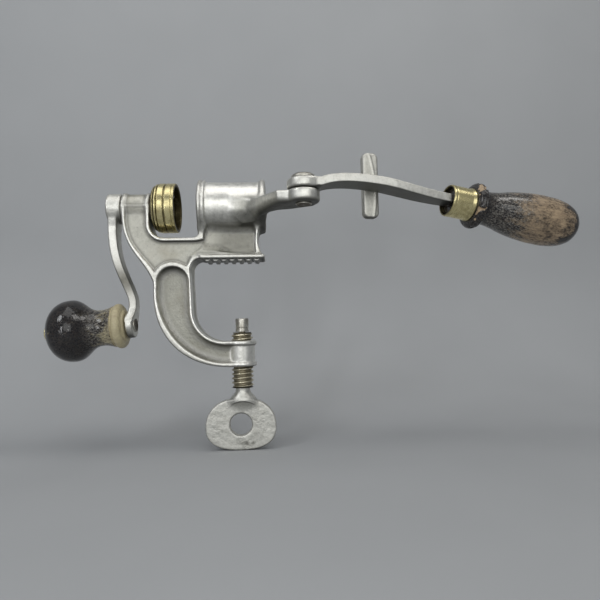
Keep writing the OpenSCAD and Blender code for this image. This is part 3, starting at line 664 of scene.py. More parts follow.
ARM_PLAN = (bezier((-1, -10.6), (8, -13.5), (11.5, -24), (17.2, -33), 10)
            + arc(PIVOT[0], PIVOT[1], EYE_R, 205, 380, 20)
            + bezier((33.5, -25.6), (26, -22), (19, -17), (BARREL_X1 - 0.2, -11.8), 8)
            + [(BARREL_X1 - 1, -6), (-1, -6)])
ARM_Z0 = ARM_TOP_Z - ARM_EYE_H
ARM_SIDE = ([(PIVOT[0] + EYE_R + 1, ARM_Z0)]
            + bezier((20, ARM_Z0), (14, ARM_Z0), (6, ARM_Z0 - 1), (-4, ARM_Z0 - 4.6), 8)
            + [(-10, ARM_Z0 - 4.6), (-10, ARM_TOP_Z)]
            + bezier((4, ARM_TOP_Z + 1.2), (12, ARM_TOP_Z + 1.6), (17, ARM_TOP_Z), (21, ARM_TOP_Z), 6)
            + [(PIVOT[0] + EYE_R + 1, ARM_TOP_Z)])


def barrel_field(x, z, rho):
    """Outer shape of the barrel: a tube, a double bead on its left and a wide one on its right that fades
    out below."""
    below = ease((AXIS_Z - 4 - z) / 6)
    tube = rod(x, BARREL_X0 + 0.4, BARREL_X1 - 0.4, rho, BARREL_R, 0.6)
    main = rod(x, BARREL_X0, BARREL_X0 + 2.2, rho, BARREL_BEAD_R, 1.5)
    second = rod(x, BARREL_X0 + 2.1, BARREL_X0 + 3.6, rho, BARREL_BEAD_R - 0.3, 1.1)
    right = rod(x, BARREL_X1 - 3.2, BARREL_X1, rho, BARREL_BEAD_R - 1.0 * below, 2.2)
    beads = join(join(main, second, 0.15), right, 0.1)
    return join(tube, beads, 0.5)


def boss_field(x, rho):
    tube = rod(x, BOSS_X0 + 0.4, BOSS_X1 - 0.4, rho, BOSS_R, 0.5)
    left = rod(x, BOSS_X0, BOSS_X0 + 2.5, rho, BOSS_BEAD_R, 1.4)
    right = rod(x, BOSS_X1 - 2.2, BOSS_X1, rho, BOSS_BEAD_R, 1.3)
    return join(tube, join(left, right, 0.1), 0.6)


def ramp_height(x, z):
    """How far the ramp above the jaw stands out from the middle plane."""
    foot = np.interp(x, (-25, -17, -9.6, -2.4, 8), (5.6, 9.0, 7.4, 4.6, 4.1))
    return foot - 0.55 * np.maximum(z - JAW_Z0 - JAW_T, 0)


def web_height(x):
    """How far the web under the barrel stands out from the middle plane."""
    return np.interp(x, (-18, -6), (HALF_W - 1.5, HALF_W - 3.2))


def plate_field(x, y, z):
    """The web and the C: full thickness on the rims and sunk between them. Under the barrel the web is
    thinner, and a ramp that fades to the right leads down to the jaw."""
    half = abs(y)
    near_boss = np.clip((x + 14) / 7, 0, 1) * np.clip((-30 - z) / 4, 0, 1)
    plate = meet(polygon(x, z, OUTLINE), half - HALF_W + 1.0 * near_boss, 1.1)
    level = meet(web_height(x), ramp_height(x, z), 0.5)
    plate = carve(plate, meet(polygon(x, z, PANEL), level - half, 1.2), 0.75)
    jaw = meet(meet(-z, z - JAW_Z0 - JAW_T, 0.5),
               meet(abs(x - JAW_MID) - JAW_LEN / 2, half - JAW_HALF_W, 1.0), 0.7)
    plate = join(plate, jaw, 1.6)
    plate = carve(plate, polygon(x, z, THROAT), 0.9)
    return carve(plate, meet(polygon(x, z, POCKET), HALF_W - POCKET_DEPTH - half, 4.0), 0.75)


def arm_field(x, y, z):
    """The arm that carries the lever: next to the barrel its underside slopes up to a thin front edge."""
    plan = polygon(x, y, ARM_PLAN)
    arm = meet(plan, polygon(x, z, ARM_SIDE), 1.1)
    edge_z = ARM_Z0 + 1.6 * ease((25 - x) / 8)
    return meet(arm, (edge_z + 0.85 * plan - z) * 0.76, 1.6)


def teeth_field(x, y, z):
    """Rows of teeth under the jaw, set back from its edges."""
    pad = meet(abs(x - JAW_MID - 0.2) - JAW_LEN / 2 + 1.2, abs(y) - HALF_W + 0.5, 0.4)
    pad = meet(pad, abs(z - 1) - 1, 0.2)
    from_groove = abs((x / TOOTH_PITCH) % 1 - 0.5) * TOOTH_PITCH
    groove = (from_groove - 1.05 + 0.5 * z) * 0.9
    return carve(pad, meet(groove, z - 1.6, 0.2), 0.35)


def casting_field(x, y, z):
    rho = np.sqrt(y * y + (z - AXIS_Z) ** 2)
    radius = np.sqrt(x * x + y * y)
    screw_boss = rod(z, -THROAT_H - SCREW_BOSS_H + 0.3, -THROAT_H - 0.3, radius, SCREW_BOSS_R, 0.6)
    for z0 in (-THROAT_H - SCREW_BOSS_H, -THROAT_H - 2.4):
        screw_boss = join(screw_boss, rod(z, z0, z0 + 2.4, radius, SCREW_BOSS_BEAD_R, 1.5), 0.3)
    body = join(plate_field(x, y, z), barrel_field(x, z, rho), 2.6)
    body = join(body, boss_field(x, rho), 0.9)
    body = join(body, arm_field(x, y, z), 5.0)
    body = join(body, screw_boss, 0.4)
    body = join(body, teeth_field(x, y, z), 0.1)
    body = carve(body, meet(rho - BORE_R, BARREL_X0 - 5 - x, 0.01), 0.7)
    spindle_hole = meet(rho - SPINDLE_R - 0.05, x + 30, 0.01)
    body = carve(body, spindle_hole, 0.3)
    body = carve(body, meet(radius - THREAD_R - 0.05, z + 20, 0.01), 0.4)
    rivet_hole = np.sqrt((x - PIVOT[0]) ** 2 + (y - PIVOT[1]) ** 2) - RIVET_R
    return carve(body, rivet_hole, 0.2)


def make_casting():
    """The casting, rough in its pocket, with painted highlights on its ramp and arm, and painted shade in its web
    and under the arm.
    """
    vertices, faces, normals = field_mesh(casting_field, FRAME_LO, FRAME_HI, CELL["casting"] * COARSER)
    x, y, z = vertices.T
    from_panel = polygon(x, z, PANEL)
    in_pocket = np.clip(-polygon(x, z, POCKET) / 0.8, 0, 1) * (abs(y) < HALF_W - 1.2)
    in_panel = np.clip(-from_panel / 0.8, 0, 1) * 0.35
    marks = wear(casting_field, vertices, normals, 1.3, np.maximum(in_pocket, in_panel))
    on_ramp = ease((ramp_height(x, z) - web_height(x)) / 0.9)
    in_web = (np.clip((x + 18) / 5, 0, 1) * np.clip(-from_panel / 1.5, 0, 1)
              * ease((HALF_W - 1.9 - abs(y)) / 1.2) * ease((z - JAW_Z0) / 4))
    on_arm = ease((x - 3) / 6) * ease((z - ARM_Z0 + 6) / 3)
    below_arm = ease((x - BARREL_X1 + 5) / 3) * ease((AXIS_Z - 3 - z) / 4) * ease((z - 11) / 3)
    # painted shade in the web under the barrel, off the ramp, and under the end of the arm
    shaded = np.maximum(0.5 * in_web * (1 - on_ramp), 0.7 * below_arm)
    # painted highlights on the ramp above the jaw and on the arm
    polish_and_highlight = np.maximum(0.9 * in_web * on_ramp, 0.7 * on_arm)
    marks["hollow"] = np.maximum(marks["hollow"], shaded)
    # below the arm the painted shade also takes the shine off
    marks["proud"] = np.maximum(marks["proud"], polish_and_highlight) * (1 - below_arm)
    pebbles = noise(vertices, 1.5, 3) * 0.05 * in_pocket + noise(vertices, 2.6, 5) * 0.035
    vertices = vertices + normals * pebbles[:, None]
    add_piece("clamp_frame", vertices, faces, "frame", "frame_casting", IRON, attributes=marks)


# ---- the spindle and its die

def turned_piece(name, node, body, finish, place, profile, around=96, relief=None, **attributes):
    """A turned piece with its grooves marked as hollows."""
    vertices, faces = turned(profile, around, relief)
    marks = {"hollow": hollows_of(profile, around)}
    marks.update({key: values(vertices) for key, values in attributes.items()})
    return add_piece(name, vertices, faces, body, node, finish, place, marks)


DIE_PLACE = along_axis((DIE_X0, 0, AXIS_Z), (1, 0, 0))
DIE_DEPTH, STUD_START = 7.6, 5.6          # measured back from the mouth
STUD_R, STUD_RING_R = 1.1, 7.8


def make_die():
    length = DIE_X1 - DIE_X0
    stub_r = SPINDLE_R - 0.8
    bottom = length - DIE_DEPTH
    outside = ([(0, stub_r), (0, DIE_R - 2.5, 0.3), (0.45, DIE_R - 1.95, 0.2)]
               + arc(1.1, DIE_R - 1.7, 0.55, 165, 15, 6) + arc(2.35, DIE_R - 0.9, 0.6, 165, 10, 6)
               + [(3.05, DIE_R - 0.5, 0.15), (3.45, DIE_R, 0.3), (6.0, DIE_R, 0.2), (6.15, DIE_R - 0.55, 0.1),
                  (6.7, DIE_R - 0.55, 0.1), (6.85, DIE_R, 0.2), (9.4, DIE_R, 0.2), (9.5, DIE_R - 0.22, 0.05),
                  (9.75, DIE_R - 0.22, 0.05), (9.85, DIE_R, 0.1), (length, DIE_R - 0.05, 0.4)])
    inside = [(length, 10.35, 0.2), (length - 0.5, 10.2, 0.2), (length - 3.0, 10.15, 0.1),
              (length - 3.2, 10.25, 0.1), (bottom + 0.4, 10.2, 0.5), (bottom, 9.7, 0.3), (bottom, stub_r),
              (0, stub_r)]
    turned_piece("crimping_die", "die_cup", "crank", BRASS, DIE_PLACE, rounded(outside + inside, 0.35), 160)
    core = shifted(bottom, [(0, 0), (0, 9.6, 0.1), (1.4, 9.6, 0.2), (2, 9, 0.2), (2, 8.2, 0.1),
                            (1.8, 8.0, 0.1), (1.8, 7.6, 0.1), (2, 7.4, 0.1), (2, 6.2, 0.2),
                            (4.4, 5.6, 0.3), (5, 5, 0.3), (5, 2.2, 0.2), (4.2, 1.6, 0.2), (4.2, 0)])
    turned_piece("die_plug", "die_core", "crank", STEEL, DIE_PLACE, rounded(core, 0.4), 96)


def make_pins():
    """Three studs in the bottom of the die."""
    start = DIE_X1 - DIE_X0 - STUD_START
    stud = shifted(start, [(0, 0), (0, STUD_R), (2.5, STUD_R, 0.3), (3.2, STUD_R / 2, 0.3), (3.2, 0)])
    vertices, faces = turned(rounded(stud, 0.2), 28)
    everything, joined = [], []
    for angle in (-90, 30, 150):
        a = math.radians(angle)
        joined += [[i + len(everything) * len(vertices) for i in f] for f in faces]
        everything.append(vertices + np.array([0, STUD_RING_R * math.sin(a), STUD_RING_R * math.cos(a)]))
    add_piece("crimp_studs", np.concatenate(everything), joined, "crank", "crimp_pins", STEEL, DIE_PLACE)


# ---- the crank and its knob

KNOB_PLACE = along_axis(KNOB, KNOB_AXIS)
CRANK_X = HUB_X0 + CRANK_ROOT_T / 2 + 0.35
CRANK_LINE = ([(CRANK_X + 1.0, AXIS_Z + 1), (CRANK_X + 0.3, AXIS_Z - 5)]
              + bezier((CRANK_X, 16), (CRANK_X - 0.3, 2), (KNOB[0] - 2.4, -7), (KNOB[0] + 0.2, -13.8), 14)
              + bezier((KNOB[0] + 0.8, -15.4), (KNOB[0] + 2.1, -19.2), (KNOB[0] + 1.2, KNOB[2] + 5.6),
                       (KNOB[0] + 0.3, KNOB[2] + 3), 8)
              + [(KNOB[0], KNOB[2])])
CRANK_SIDE = ribbon(CRANK_LINE, np.linspace(CRANK_ROOT_T, CRANK_T, len(CRANK_LINE)))


def crank_front():
    """Front outline of the crank arm in Y and Z, the right half and then the left."""
    w = CRANK_W / 2
    half = [(KNOB_EYE_R - 0.6, KNOB[2] + 2), (w - 0.7, KNOB[2] + 8), (w, AXIS_Z - 15), (w + 0.6, AXIS_Z - 9),
            (HUB_R - 1.0, AXIS_Z - 3), (HUB_R - 1.4, AXIS_Z + 1)]
    return half + [(-y, z) for y, z in half[::-1]]


def crank_field(x, y, z):
    rho = np.sqrt(y * y + (z - AXIS_Z) ** 2)
    hub = rod(x, HUB_X0, HUB_X1, rho, HUB_R, 0.9)
    arm = meet(polygon(x, z, CRANK_SIDE), polygon(y, z, crank_front()), 0.8)
    along = (x - KNOB[0]) * KNOB_AXIS.x + (z - KNOB[2]) * KNOB_AXIS.z
    away = np.sqrt(np.maximum((x - KNOB[0]) ** 2 + y * y + (z - KNOB[2]) ** 2 - along ** 2, 0))
    eye = rod(along, -CRANK_T / 2, CRANK_T / 2, away, KNOB_EYE_R, 0.9)
    body = join(join(hub, arm, 0.8), eye, 1.4)
    square = np.maximum(abs(y), abs(z - AXIS_Z)) - TENON / 2
    body = carve(body, meet(square, x - HUB_X1 - 3, 0.01), 0.15)
    return carve(body, away - KNOB_PIN_R, 0.3)


def make_crank():
    """The crank, bright with polish but for a stretch in the middle that is dulled and darkened with painted
    shade.
    """
    vertices, faces, marks = cast_surface(crank_field, node_box("crank_arm"), CELL["crank"], 1.0, 0.3, 0.7,
                                          (2.2, 17, 0.04))
    # painted shade: a stretch in the middle of the crank loses its shine and is darkened
    stain_and_shade(marks, np.exp(-((vertices[:, 2] - PAINTED_SHADE_Z) / PAINTED_SHADE_REACH) ** 2), 0.6)
    add_piece("crank", vertices, faces, "crank", "crank_arm", IRON, attributes=marks)


def make_knob():
    x0, x1 = KNOB_X0, KNOB_X1
    bore = KNOB_PIN_R + 0.05
    profile = even([(x0 + 0.3, bore), (x0, bore + 0.3), (x0, 4.6), (x0 + 0.2, 5.0)]
                   + bezier((x0 + 0.5, 6), (x0 + 2.4, 12), (x0 + 6.6, KNOB_R), (x0 + 11, KNOB_R), 16)
                   + bezier((x0 + 11.5, KNOB_R), (x0 + 17, KNOB_R), (x0 + 18, 8.4), (x1 - 11.5, 8.4), 16)
                   + bezier((x1 - 11, 8.4), (x1 - 9, 8.4), (x1 - 7, 9.2), (x1 - 5.6, 9.6), 6)
                   + [(x1 - 5.3, 9.2)]
                   + arc(x1 - 3, 8.4, 2.1, 160, 20, 12)
                   + [(x1 - 0.9, 8.4), (x1 - 0.7, 7.6), (x1 - 0.1, 7.3), (x1, 7.0), (x1, bore + 0.3),
                      (x1 - 0.3, bore)], 0.3)

    def relief(p, s, a):
        worn = -0.03 + 0.025 * fractal(p, 5.0, 21, 2)
        pitted = -0.035 * np.clip((noise(p, 1.3, 22) - 0.4) / 0.3, 0, 1)
        return np.where(np.hypot(p[:, 1], p[:, 2]) > bore + 0.4, worn + pitted, 0)

    def bare(p):
        bead = np.clip((p[:, 0] - (x1 - 5.6)) / 0.6, 0, 1)
        waist = np.clip((p[:, 0] - (x1 - 17)) / 8, 0, 1) * (1 - bead)
        return 1.15 * bead + 0.24 * waist + 0.07 + 0.15 * noise(p, 5, 24)

    # how far the waist is greyed by wear and by a painted sheen
    def scuffed(p):
        return np.clip((p[:, 0] - (x1 - 19)) / 7, 0.12, 1)

    turned_piece("crank_knob_wood", "crank_knob", "knob", KNOB_PAINT, KNOB_PLACE, profile, 220, relief,
                 bare=bare, scuffed=scuffed)


def make_knob_pin():
    """The pin that is riveted into the crank's eye, and the washer at its other end."""
    end_r, washer_r = 2.0, 3.6
    x0 = KNOB_X0 - 0.3 - KNOB_WASHER_T
    x1, mid = CRANK_T / 2, x0 + KNOB_WASHER_T
    pin = [(x0 - 0.6, 0), (x0 - 0.6, 1.5, 0.4), (x0, 2.2, 0.2), (x0, end_r), (mid, end_r), (mid, KNOB_PIN_R)]
    head = shifted(x1, [(0, KNOB_PIN_R), (0, 3.6, 0.15), (0.5, 3.4, 0.25), (0.8, 2.4, 0.3), (0.75, 1.6, 0.2),
                        (0.35, 1.2, 0.2), (0.35, 0)])
    turned_piece("crank_knob_pin", "knob_pin", "crank", STEEL, KNOB_PLACE, rounded(pin + head, 0.4), 48)
    washer = [(x0, end_r), (x0, washer_r - 0.3, 0.1), (x0 + 0.3, washer_r, 0.2), (mid, washer_r, 0.2),
              (mid, end_r), (x0, end_r)]
    turned_piece("crank_knob_washer", "knob_end_washer", "crank", BRASS, KNOB_PLACE,
                 rounded(washer, 0.3), 48)


# ---- the lever

LEVER = Matrix.Translation(Vector((PIVOT[0], PIVOT[1], 0)) * MM) @ Matrix.Rotation(LEVER_ANGLE, 4, "Z")
HANDLE = (LEVER @ Matrix.Translation(Vector((FERRULE_S, 0, FERRULE_Z)) * MM)
          @ Matrix.Rotation(HANDLE_SLOPE, 4, "Y"))
BAR_LINE = ([(0, BAR_Z)]
            + bezier((6.6, BAR_Z), (12.6, BAR_Z + BAR_ARCH), (22, BAR_Z + BAR_ARCH), (33, BAR_Z + 1.4), 12)
            + bezier((35, BAR_Z + 1.2), (46, BAR_Z - 0.6), (54, FERRULE_Z + 1.4),
                     (FERRULE_S + 1, FERRULE_Z), 10))


def bar_plan():
    w = BAR_W / 2
    side = [(8, w), (40, w), (50, w - 0.4), (FERRULE_S - 4, 4.6), (FERRULE_S + 1.2, 4.4)]
    return arc(0, 0, EYE_R, 120, 240, 12) + [(s, -t) for s, t in side] + side[::-1]


def bar_field(s, t, h):
    """The bar and its eye, in the lever's own frame."""
    bar = meet(polygon(s, h, ribbon(BAR_LINE, BAR_T)), polygon(s, t, bar_plan()), 0.55)
    rho = np.sqrt(s * s + t * t)
    middle = LEVER_EYE_Z0 + LEVER_EYE_H / 2
    eye = meet(rho - EYE_R, abs(h - middle) - LEVER_EYE_H / 2, 1.4)
    body = join(bar, eye, 0.8)
    body = meet(body, np.where(s < 9, LEVER_EYE_Z0 - h, -5), 0.1)
    return carve(body, rho - RIVET_R - 0.05, 0.2)


def pusher_field(s, t, h):
    """The cross-bar on the back of the lever, with a low crooked ridge in front and one behind."""
    ds, dh = s - PUSHER_S, h - PUSHER_MID
    corner = 2.6
    qs = abs(ds) - PUSHER_W / 2 + corner
    qh = abs(dh) - PUSHER_H / 2 + corner
    outline = np.hypot(np.maximum(qs, 0), np.maximum(qh, 0)) + np.minimum(np.maximum(qs, qh), 0) - corner
    along = dh / (PUSHER_H / 2)
    crooked = PUSHER_W * (0.26 - 0.12 * along - 0.25 * along ** 2)
    front_ridge = 0.3 * np.clip(1 - abs(ds - crooked) / 0.8, 0, 1)
    back_ridge = 0.75 * np.clip(1 - abs(ds) / 1.6, 0, 1) * (abs(dh) < PUSHER_H / 2 - 2)
    bar = meet(PUSHER_T0 + 0.3 - front_ridge - t, t - PUSHER_T0 - PUSHER_DEPTH - back_ridge, 0.3)
    return meet(outline, bar, 1.3)


def make_lever():
    low, high = 20, 34                     # well below and above the bar
    box = (-EYE_R, -EYE_R, low), (FERRULE_S + 2, EYE_R, high)
    vertices, faces, marks = cast_surface(bar_field, box, CELL["bar"], 0.9, 0.2, 0.65, (3.0, 31, 0.04))
    add_piece("lever", vertices, faces, "lever", "lever_bar", IRON, LEVER, marks)
    half = (PUSHER_W / 2, 0, PUSHER_H / 2)
    centre = np.array((PUSHER_S, PUSHER_T0, PUSHER_MID))
    box = centre - half, centre + half + (0, 6, 0)
    vertices, faces, marks = cast_surface(pusher_field, box, CELL["pusher"], 0.7, 0.25, 0.3)
    add_piece("pusher", vertices, faces, "lever", "pusher_bar", IRON, LEVER, marks)


def make_rivet():
    place = along_axis((PIVOT[0], PIVOT[1], 0), (0, 0, 1))
    foot_r = RIVET_R + 0.5
    foot = shifted(RIVET_Z0, [(0, 0), (0, 1.6, 0.3), (0.25, 2.2, 0.3), (0, 2.8, 0.2), (0.3, foot_r, 0.2)])
    shank = [(ARM_Z0, foot_r), (ARM_Z0, RIVET_R), (WASHER_Z1, RIVET_R), (WASHER_Z1, RIVET_HEAD_R)]
    top = RIVET_Z1 - WASHER_Z1
    dome = [(WASHER_Z1 + top * math.sin(a), RIVET_HEAD_R * math.cos(a))
            for a in np.linspace(0.1, math.pi / 2, 12)]
    profile = np.concatenate([rounded(foot + shank, 0.4), even(dome, 0.4)])
    turned_piece("pivot_rivet_dome", "pivot_rivet", "frame", STEEL, place, profile, 64)
    washer = [(WASHER_Z0, RIVET_R), (WASHER_Z0, RIVET_WASHER_R, 0.2), (WASHER_Z1, RIVET_WASHER_R, 0.2),
              (WASHER_Z1, RIVET_R), (WASHER_Z0, RIVET_R)]
    turned_piece("pivot_rivet_washer", "pivot_washer", "frame", STEEL, place,
                 rounded(washer, 0.3), 64)


def make_ferrule():
    inner = FERRULE_R - 0.85
    lip_r = FERRULE_R + 0.35
    profile = [(0.1, inner, 0.1), (0, FERRULE_R - 0.3, 0.2), (0.5, FERRULE_R, 0.3), (1.3, FERRULE_R),
               (1.45, FERRULE_R - 0.12), (1.6, FERRULE_R), (FERRULE_LEN - 1.8, FERRULE_R, 0.4),
               (FERRULE_LEN - 0.6, lip_r, 0.4), (FERRULE_LEN, lip_r, 0.2), (FERRULE_LEN, inner),
               (0.1, inner, 0.1)]
    turned_piece("handle_ferrule_ring", "handle_ferrule", "lever", BRASS, HANDLE,
                 rounded(profile, 0.4), 128)


def make_handle():
    x0, x1 = FERRULE_LEN, FERRULE_LEN + HANDLE_LEN
    spigot_r = FERRULE_R - 0.9
    collar = (x0, x0 + 5.4)
    profile = even([(2.0, 0), (2.0, spigot_r), (x0, spigot_r), (x0 + 0.05, 8.4)]
                   + arc(x0 + 2.6, 8, 2.4, 165, 15, 14)
                   + bezier((x0 + 5.5, 8), (x0 + 7, 7.2), (x0 + 11, 7.8), (x0 + 15, 8.7), 10)
                   + bezier((x0 + 16, 9), (x0 + 24, 11), (x0 + 31, HANDLE_R), (x0 + 38, HANDLE_R), 12)
                   + bezier((x0 + 39, HANDLE_R), (x0 + 50, HANDLE_R - 0.3), (x1, 8.2), (x1, 0), 18), 0.3)

    def on_collar(s):
        return np.clip((s - collar[0]) / 0.4, 0, 1) * np.clip((collar[1] - s) / 0.6, 0, 1)

    def chipped(p):
        return np.clip((noise(p, 3.4, 41) + 0.5 * noise(p, 1.3, 42) - 0.16) / 0.2, 0, 1)

    def cracked(p):
        angle = np.arctan2(p[:, 2], p[:, 1])
        ring = np.stack([np.cos(angle) * 9, np.sin(angle) * 9, np.zeros(len(p))], 1)
        path = collar[0] + 3.2 + 0.75 * noise(ring, 2.6, 43)
        return np.exp(-((p[:, 0] - path) / 0.24) ** 2)

    def relief(p, s, a):
        worn = -0.05 + 0.045 * fractal(p, 5.0, 44, 2)
        pitted = -0.08 * np.clip((noise(p, 1.5, 45) - 0.3) / 0.3, 0, 1) * np.clip((s - x0 - 6) / 2, 0, 1)
        broken = -on_collar(s) * (0.75 * chipped(p) + 0.5 * cracked(p))
        visible = np.clip((s - x0 + 0.2) / 0.3, 0, 1)
        return (worn + pitted + broken) * visible

    def bare(p):
        s = p[:, 0]
        belly = np.clip((s - x0 - 12) / 18, 0, 1) * np.clip((x1 - 3 - s) / 11, 0, 1)
        chips = on_collar(s) * chipped(p) * (noise(p, 4.5, 46) > 0)
        return 0.44 * belly + 0.9 * chips + 0.03 + 0.25 * fractal(p, 9, 47) * belly

    # how far the neck is greyed by wear and by painted glints
    def scuffed(p):
        s = p[:, 0]
        return np.clip((s - x0 - 5) / 4, 0.25, 1) * np.clip((x0 + 34 - s) / 10, 0.1, 1)

    turned_piece("lever_handle_wood", "lever_handle", "lever", HANDLE_PAINT, HANDLE, profile,
                 240, relief, bare=bare, scuffed=scuffed)


# ---- the clamp screw

def make_nose():
    place = along_axis((0, 0, 0), (0, 0, 1))
    r = NOSE_R
    inner = 1.55
    groove = shifted(NOSE_Z0 + 1.5, [(0, r, 0.1), (0.12, r - 0.16, 0.05), (0.4, r - 0.16, 0.05),
                                     (0.5, r - 0.02, 0.1)])
    tip = shifted(NOSE_Z1, [(-0.7, r - 0.02, 0.1), (-0.6, r, 0.1), (0, r - 0.1, 0.35), (0, 0.9, 0.2),
                            (-0.5, 0.5, 0.1), (-0.5, 0)])
    profile = [(NOSE_Z0, inner), (NOSE_Z0, r, 0.1)] + groove + tip
    blind = [(NOSE_Z0 + 4, 0), (NOSE_Z0 + 4, inner)]
    turned_piece("screw_nose_pad", "screw_nose", "nose", STEEL, place,
                 np.concatenate([even(blind, 0.4), rounded(profile, 0.3)]), 64)


def wing_outline():
    w, top = WING_W / 2, WING_H / 2
    half = (bezier((0.2, -top), (12, -top), (w, -8), (w, -1.2), 12)
            + bezier((w, -1), (w, 8), (9, top), (4, top), 12))
    return half + [(-x, z) for x, z in half[::-1]]


def wing_field(x, y, z):
    """The wing, thicker towards its top, its hole and the short neck that flares into it."""
    off = x - WING_X
    rise = np.clip((z - WING_Z - 5.4) / 6.4, 0, 1) ** 2 * np.clip(1 - (x / 7.5) ** 2, 0, 1)
    wing = meet(polygon(off, z - WING_Z, wing_outline()), abs(y) - WING_T / 2 - 2.3 * rise, 0.8)
    flare = ease((THREAD_END_Z - z - 1.5) / 4.5)
    rho = np.hypot(x * (1 - 0.25 * flare), y)
    arched = z + 0.055 * x * x
    neck = meet((rho - 3.45 - 1.3 * flare) * 0.85, abs(arched - THREAD_END_Z + 3.1) - 3.5, 0.4)
    from_hole = np.sqrt(off * off + (z - WING_Z) ** 2)
    return carve(join(wing, neck, 0.5), from_hole - WING_HOLE_R, 0.9)


def make_screw():
    half_depth = 6
    vertices, faces, normals = field_mesh(wing_field, (SCREW_LO[0], -half_depth, SCREW_LO[2]),
                                          (SCREW_HI[0], half_depth, THREAD_END_Z + 1),
                                          CELL["wing"] * COARSER)
    x, z = vertices[:, 0], vertices[:, 2]
    rough = np.clip((THREAD_END_Z - 4 - z) / 3, 0.15, 0.7)
    marks = wear(wing_field, vertices, normals, 1.1, rough, 0.55)
    stained = np.exp(-((x - 2.5) / 4.5) ** 2 - ((z - SCREW_LO[2] - 3.4) / 1.5) ** 2)
    stain_and_shade(marks, stained * np.clip(noise(vertices, 1.6, 52) * 2 + 0.7, 0, 1), 0.75)
    vertices = lumpy(vertices, normals, 1.9, 51, 0.05)
    add_piece("thumb_screw_wing", vertices, faces, "screw", "clamp_screw", IRON,
              attributes=marks)


def make_thread():
    """The screw's helical thread, with the pin on which its nose turns."""
    top = NOSE_Z0 - 0.3
    bottom = THREAD_END_Z - 0.4
    depth, pin_r, pin_len = 0.95, 1.5, 4
    core = [(bottom, 0), (bottom, THREAD_R), (top, THREAD_R), (top, pin_r), (top + pin_len, pin_r),
            (top + pin_len, 0)]

    def depth_at(s, angle):
        turn = (s / THREAD_PITCH - angle / (2 * math.pi)) % 1
        flank = np.clip((0.86 - abs(2 * turn - 1)) / 0.62, 0, 1)
        ends = np.maximum(np.clip((s - top + 1.4) / 1.4, 0, 1), np.clip((bottom + 0.9 - s) / 0.9, 0, 1))
        return np.maximum(flank * flank * (3 - 2 * flank), ends)

    def relief(p, s, angle):
        on_thread = (np.hypot(p[:, 1], p[:, 2]) > THREAD_R - 0.01) & (s < top + 0.01)
        return -depth * depth_at(s, angle) * on_thread

    vertices, faces = turned(even(core, CELL["thread"] * COARSER), 72, relief)
    grooved = np.clip((THREAD_R - np.hypot(vertices[:, 1], vertices[:, 2])) / depth, 0, 1)
    add_piece("thumb_screw_thread", vertices, faces, "screw", "clamp_screw", THREAD,
              along_axis((0, 0, 0), (0, 0, 1)), {"hollow": grooved ** 1.5 * 0.7})


make_casting()
make_die()
make_pins()
make_crank()
make_knob()
make_knob_pin()
make_lever()
make_rivet()
make_ferrule()
make_handle()
make_nose()
make_screw()
make_thread()
for cad_node, cad_material in (("spindle", SPINDLE), ("thrust_washer", THRUST)):
    frame["nodes"][cad_node].data.materials.clear()
    frame["nodes"][cad_node].data.materials.append(cad_material)


# ---- floor, lights and camera

def make_stage():
    """A pale floor that sweeps up into a backdrop, which lets a view from behind through."""
    front, back, sweep, top, half_width = -900, 150, 130, 900, 1200
    line = ([(front, FLOOR_Z), (back - sweep, FLOOR_Z)]
            + arc(back - sweep, FLOOR_Z + sweep, sweep, -90, 0, 24) + [(back, top)])
    vertices = [(x, y, z) for y, z in line for x in (-half_width, half_width)]
    faces = [(2 * i, 2 * i + 1, 2 * i + 3, 2 * i + 2) for i in range(len(line) - 1)]
    mesh = bpy.data.meshes.new("floor_and_backdrop")
    mesh.from_pydata([tuple(c * MM for c in v) for v in vertices], [], faces)
    mesh.polygons.foreach_set("use_smooth", [True] * len(faces))
    stage = bpy.data.objects.new("floor_and_backdrop", mesh)
    bpy.context.scene.collection.objects.link(stage)
    m = Nodes("pale_paper", of_cad=True)
    tone = m.blend(m.noise(60, 2, 0.5), (0.38, 0.39, 0.40), (0.42, 0.43, 0.44))
    mesh.materials.append(m.finish(tone, 0.85, m.bump(m.noise(0.6, 2, 0.5), 0.02)))
    from_behind = m.add("ShaderNodeNewGeometry", out="Backfacing")
    clear = m.add("ShaderNodeBsdfTransparent")
    surface = m.add("ShaderNodeMixShader", {0: from_behind, 1: m.shader.outputs["BSDF"], 2: clear})
    m.feed(m.tree.nodes["Material Output"].inputs["Surface"], surface)


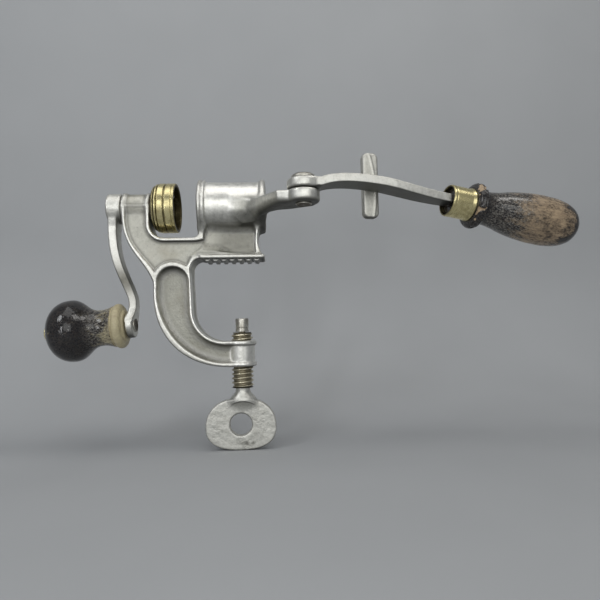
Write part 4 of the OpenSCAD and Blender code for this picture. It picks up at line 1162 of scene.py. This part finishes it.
def area_light(name, centre, target, size, power, colour=(1, 1, 1)):
    light = bpy.data.lights.new(name, "AREA")
    light.shape = "RECTANGLE"
    light.size, light.size_y = (s * MM for s in size)
    light.energy = power
    light.color = colour
    lamp = bpy.data.objects.new(name, light)
    lamp.visible_camera = False
    bpy.context.scene.collection.objects.link(lamp)
    lamp.location = Vector(centre) * MM
    lamp.rotation_mode = "QUATERNION"
    lamp.rotation_quaternion = (Vector(target) - Vector(centre)).to_track_quat("-Z", "Y")


def make_lights():
    middle = (10, 0, 0)
    area_light("overhead", (-40, -150, 510), middle, (460, 380), 0.72, (1.0, 0.99, 0.97))
    area_light("front_fill", (110, -700, 185), middle, (760, 380), 1.35, (0.99, 1.0, 0.98))
    area_light("left_strip", (-245, -430, 10), (-70, 0, -20), (36, 150), 0.22, (0.97, 0.98, 1.0))
    area_light("left_window", (-360, -300, 330), middle, (120, 170), 0.45, (0.96, 0.98, 1.0))
    area_light("lamp_by_camera", (25, -262, 0), middle, (26, 12), 0.02)
    area_light("right_above", (320, -160, 460), middle, (160, 200), 0.4, (1.0, 0.98, 0.95))
    world = bpy.data.worlds.new("studio")
    world.use_nodes = True
    background = world.node_tree.nodes["Background"]
    background.inputs["Color"].default_value = (0.93, 0.96, 1.0, 1)
    background.inputs["Strength"].default_value = 0.26
    bpy.context.scene.world = world


def make_camera():
    """The viewpoint: just below the jaw and in front, looking slightly up."""
    place = Vector(CAMERA_AT) * MM
    pitch, yaw, roll = (math.radians(a) for a in CAMERA_TURN)
    ahead = Vector((math.sin(yaw) * math.cos(pitch), math.cos(yaw) * math.cos(pitch), math.sin(pitch)))
    level = Vector((math.cos(yaw), -math.sin(yaw), 0))
    over = level.cross(ahead)
    right = level * math.cos(roll) - over * math.sin(roll)
    up = level * math.sin(roll) + over * math.cos(roll)
    camera = bpy.data.cameras.new("camera")
    camera.sensor_fit = "HORIZONTAL"
    camera.sensor_width, camera.lens = SENSOR, LENS
    camera.clip_start, camera.clip_end = 0.01, 20
    eye = bpy.data.objects.new("camera", camera)
    bpy.context.scene.collection.objects.link(eye)
    eye.matrix_world = Matrix.Translation(place) @ Matrix((right, up, -ahead)).transposed().to_4x4()
    bpy.context.scene.camera = eye
    bpy.context.scene.view_settings.view_transform = "Standard"


make_stage()
make_lights()
make_camera()
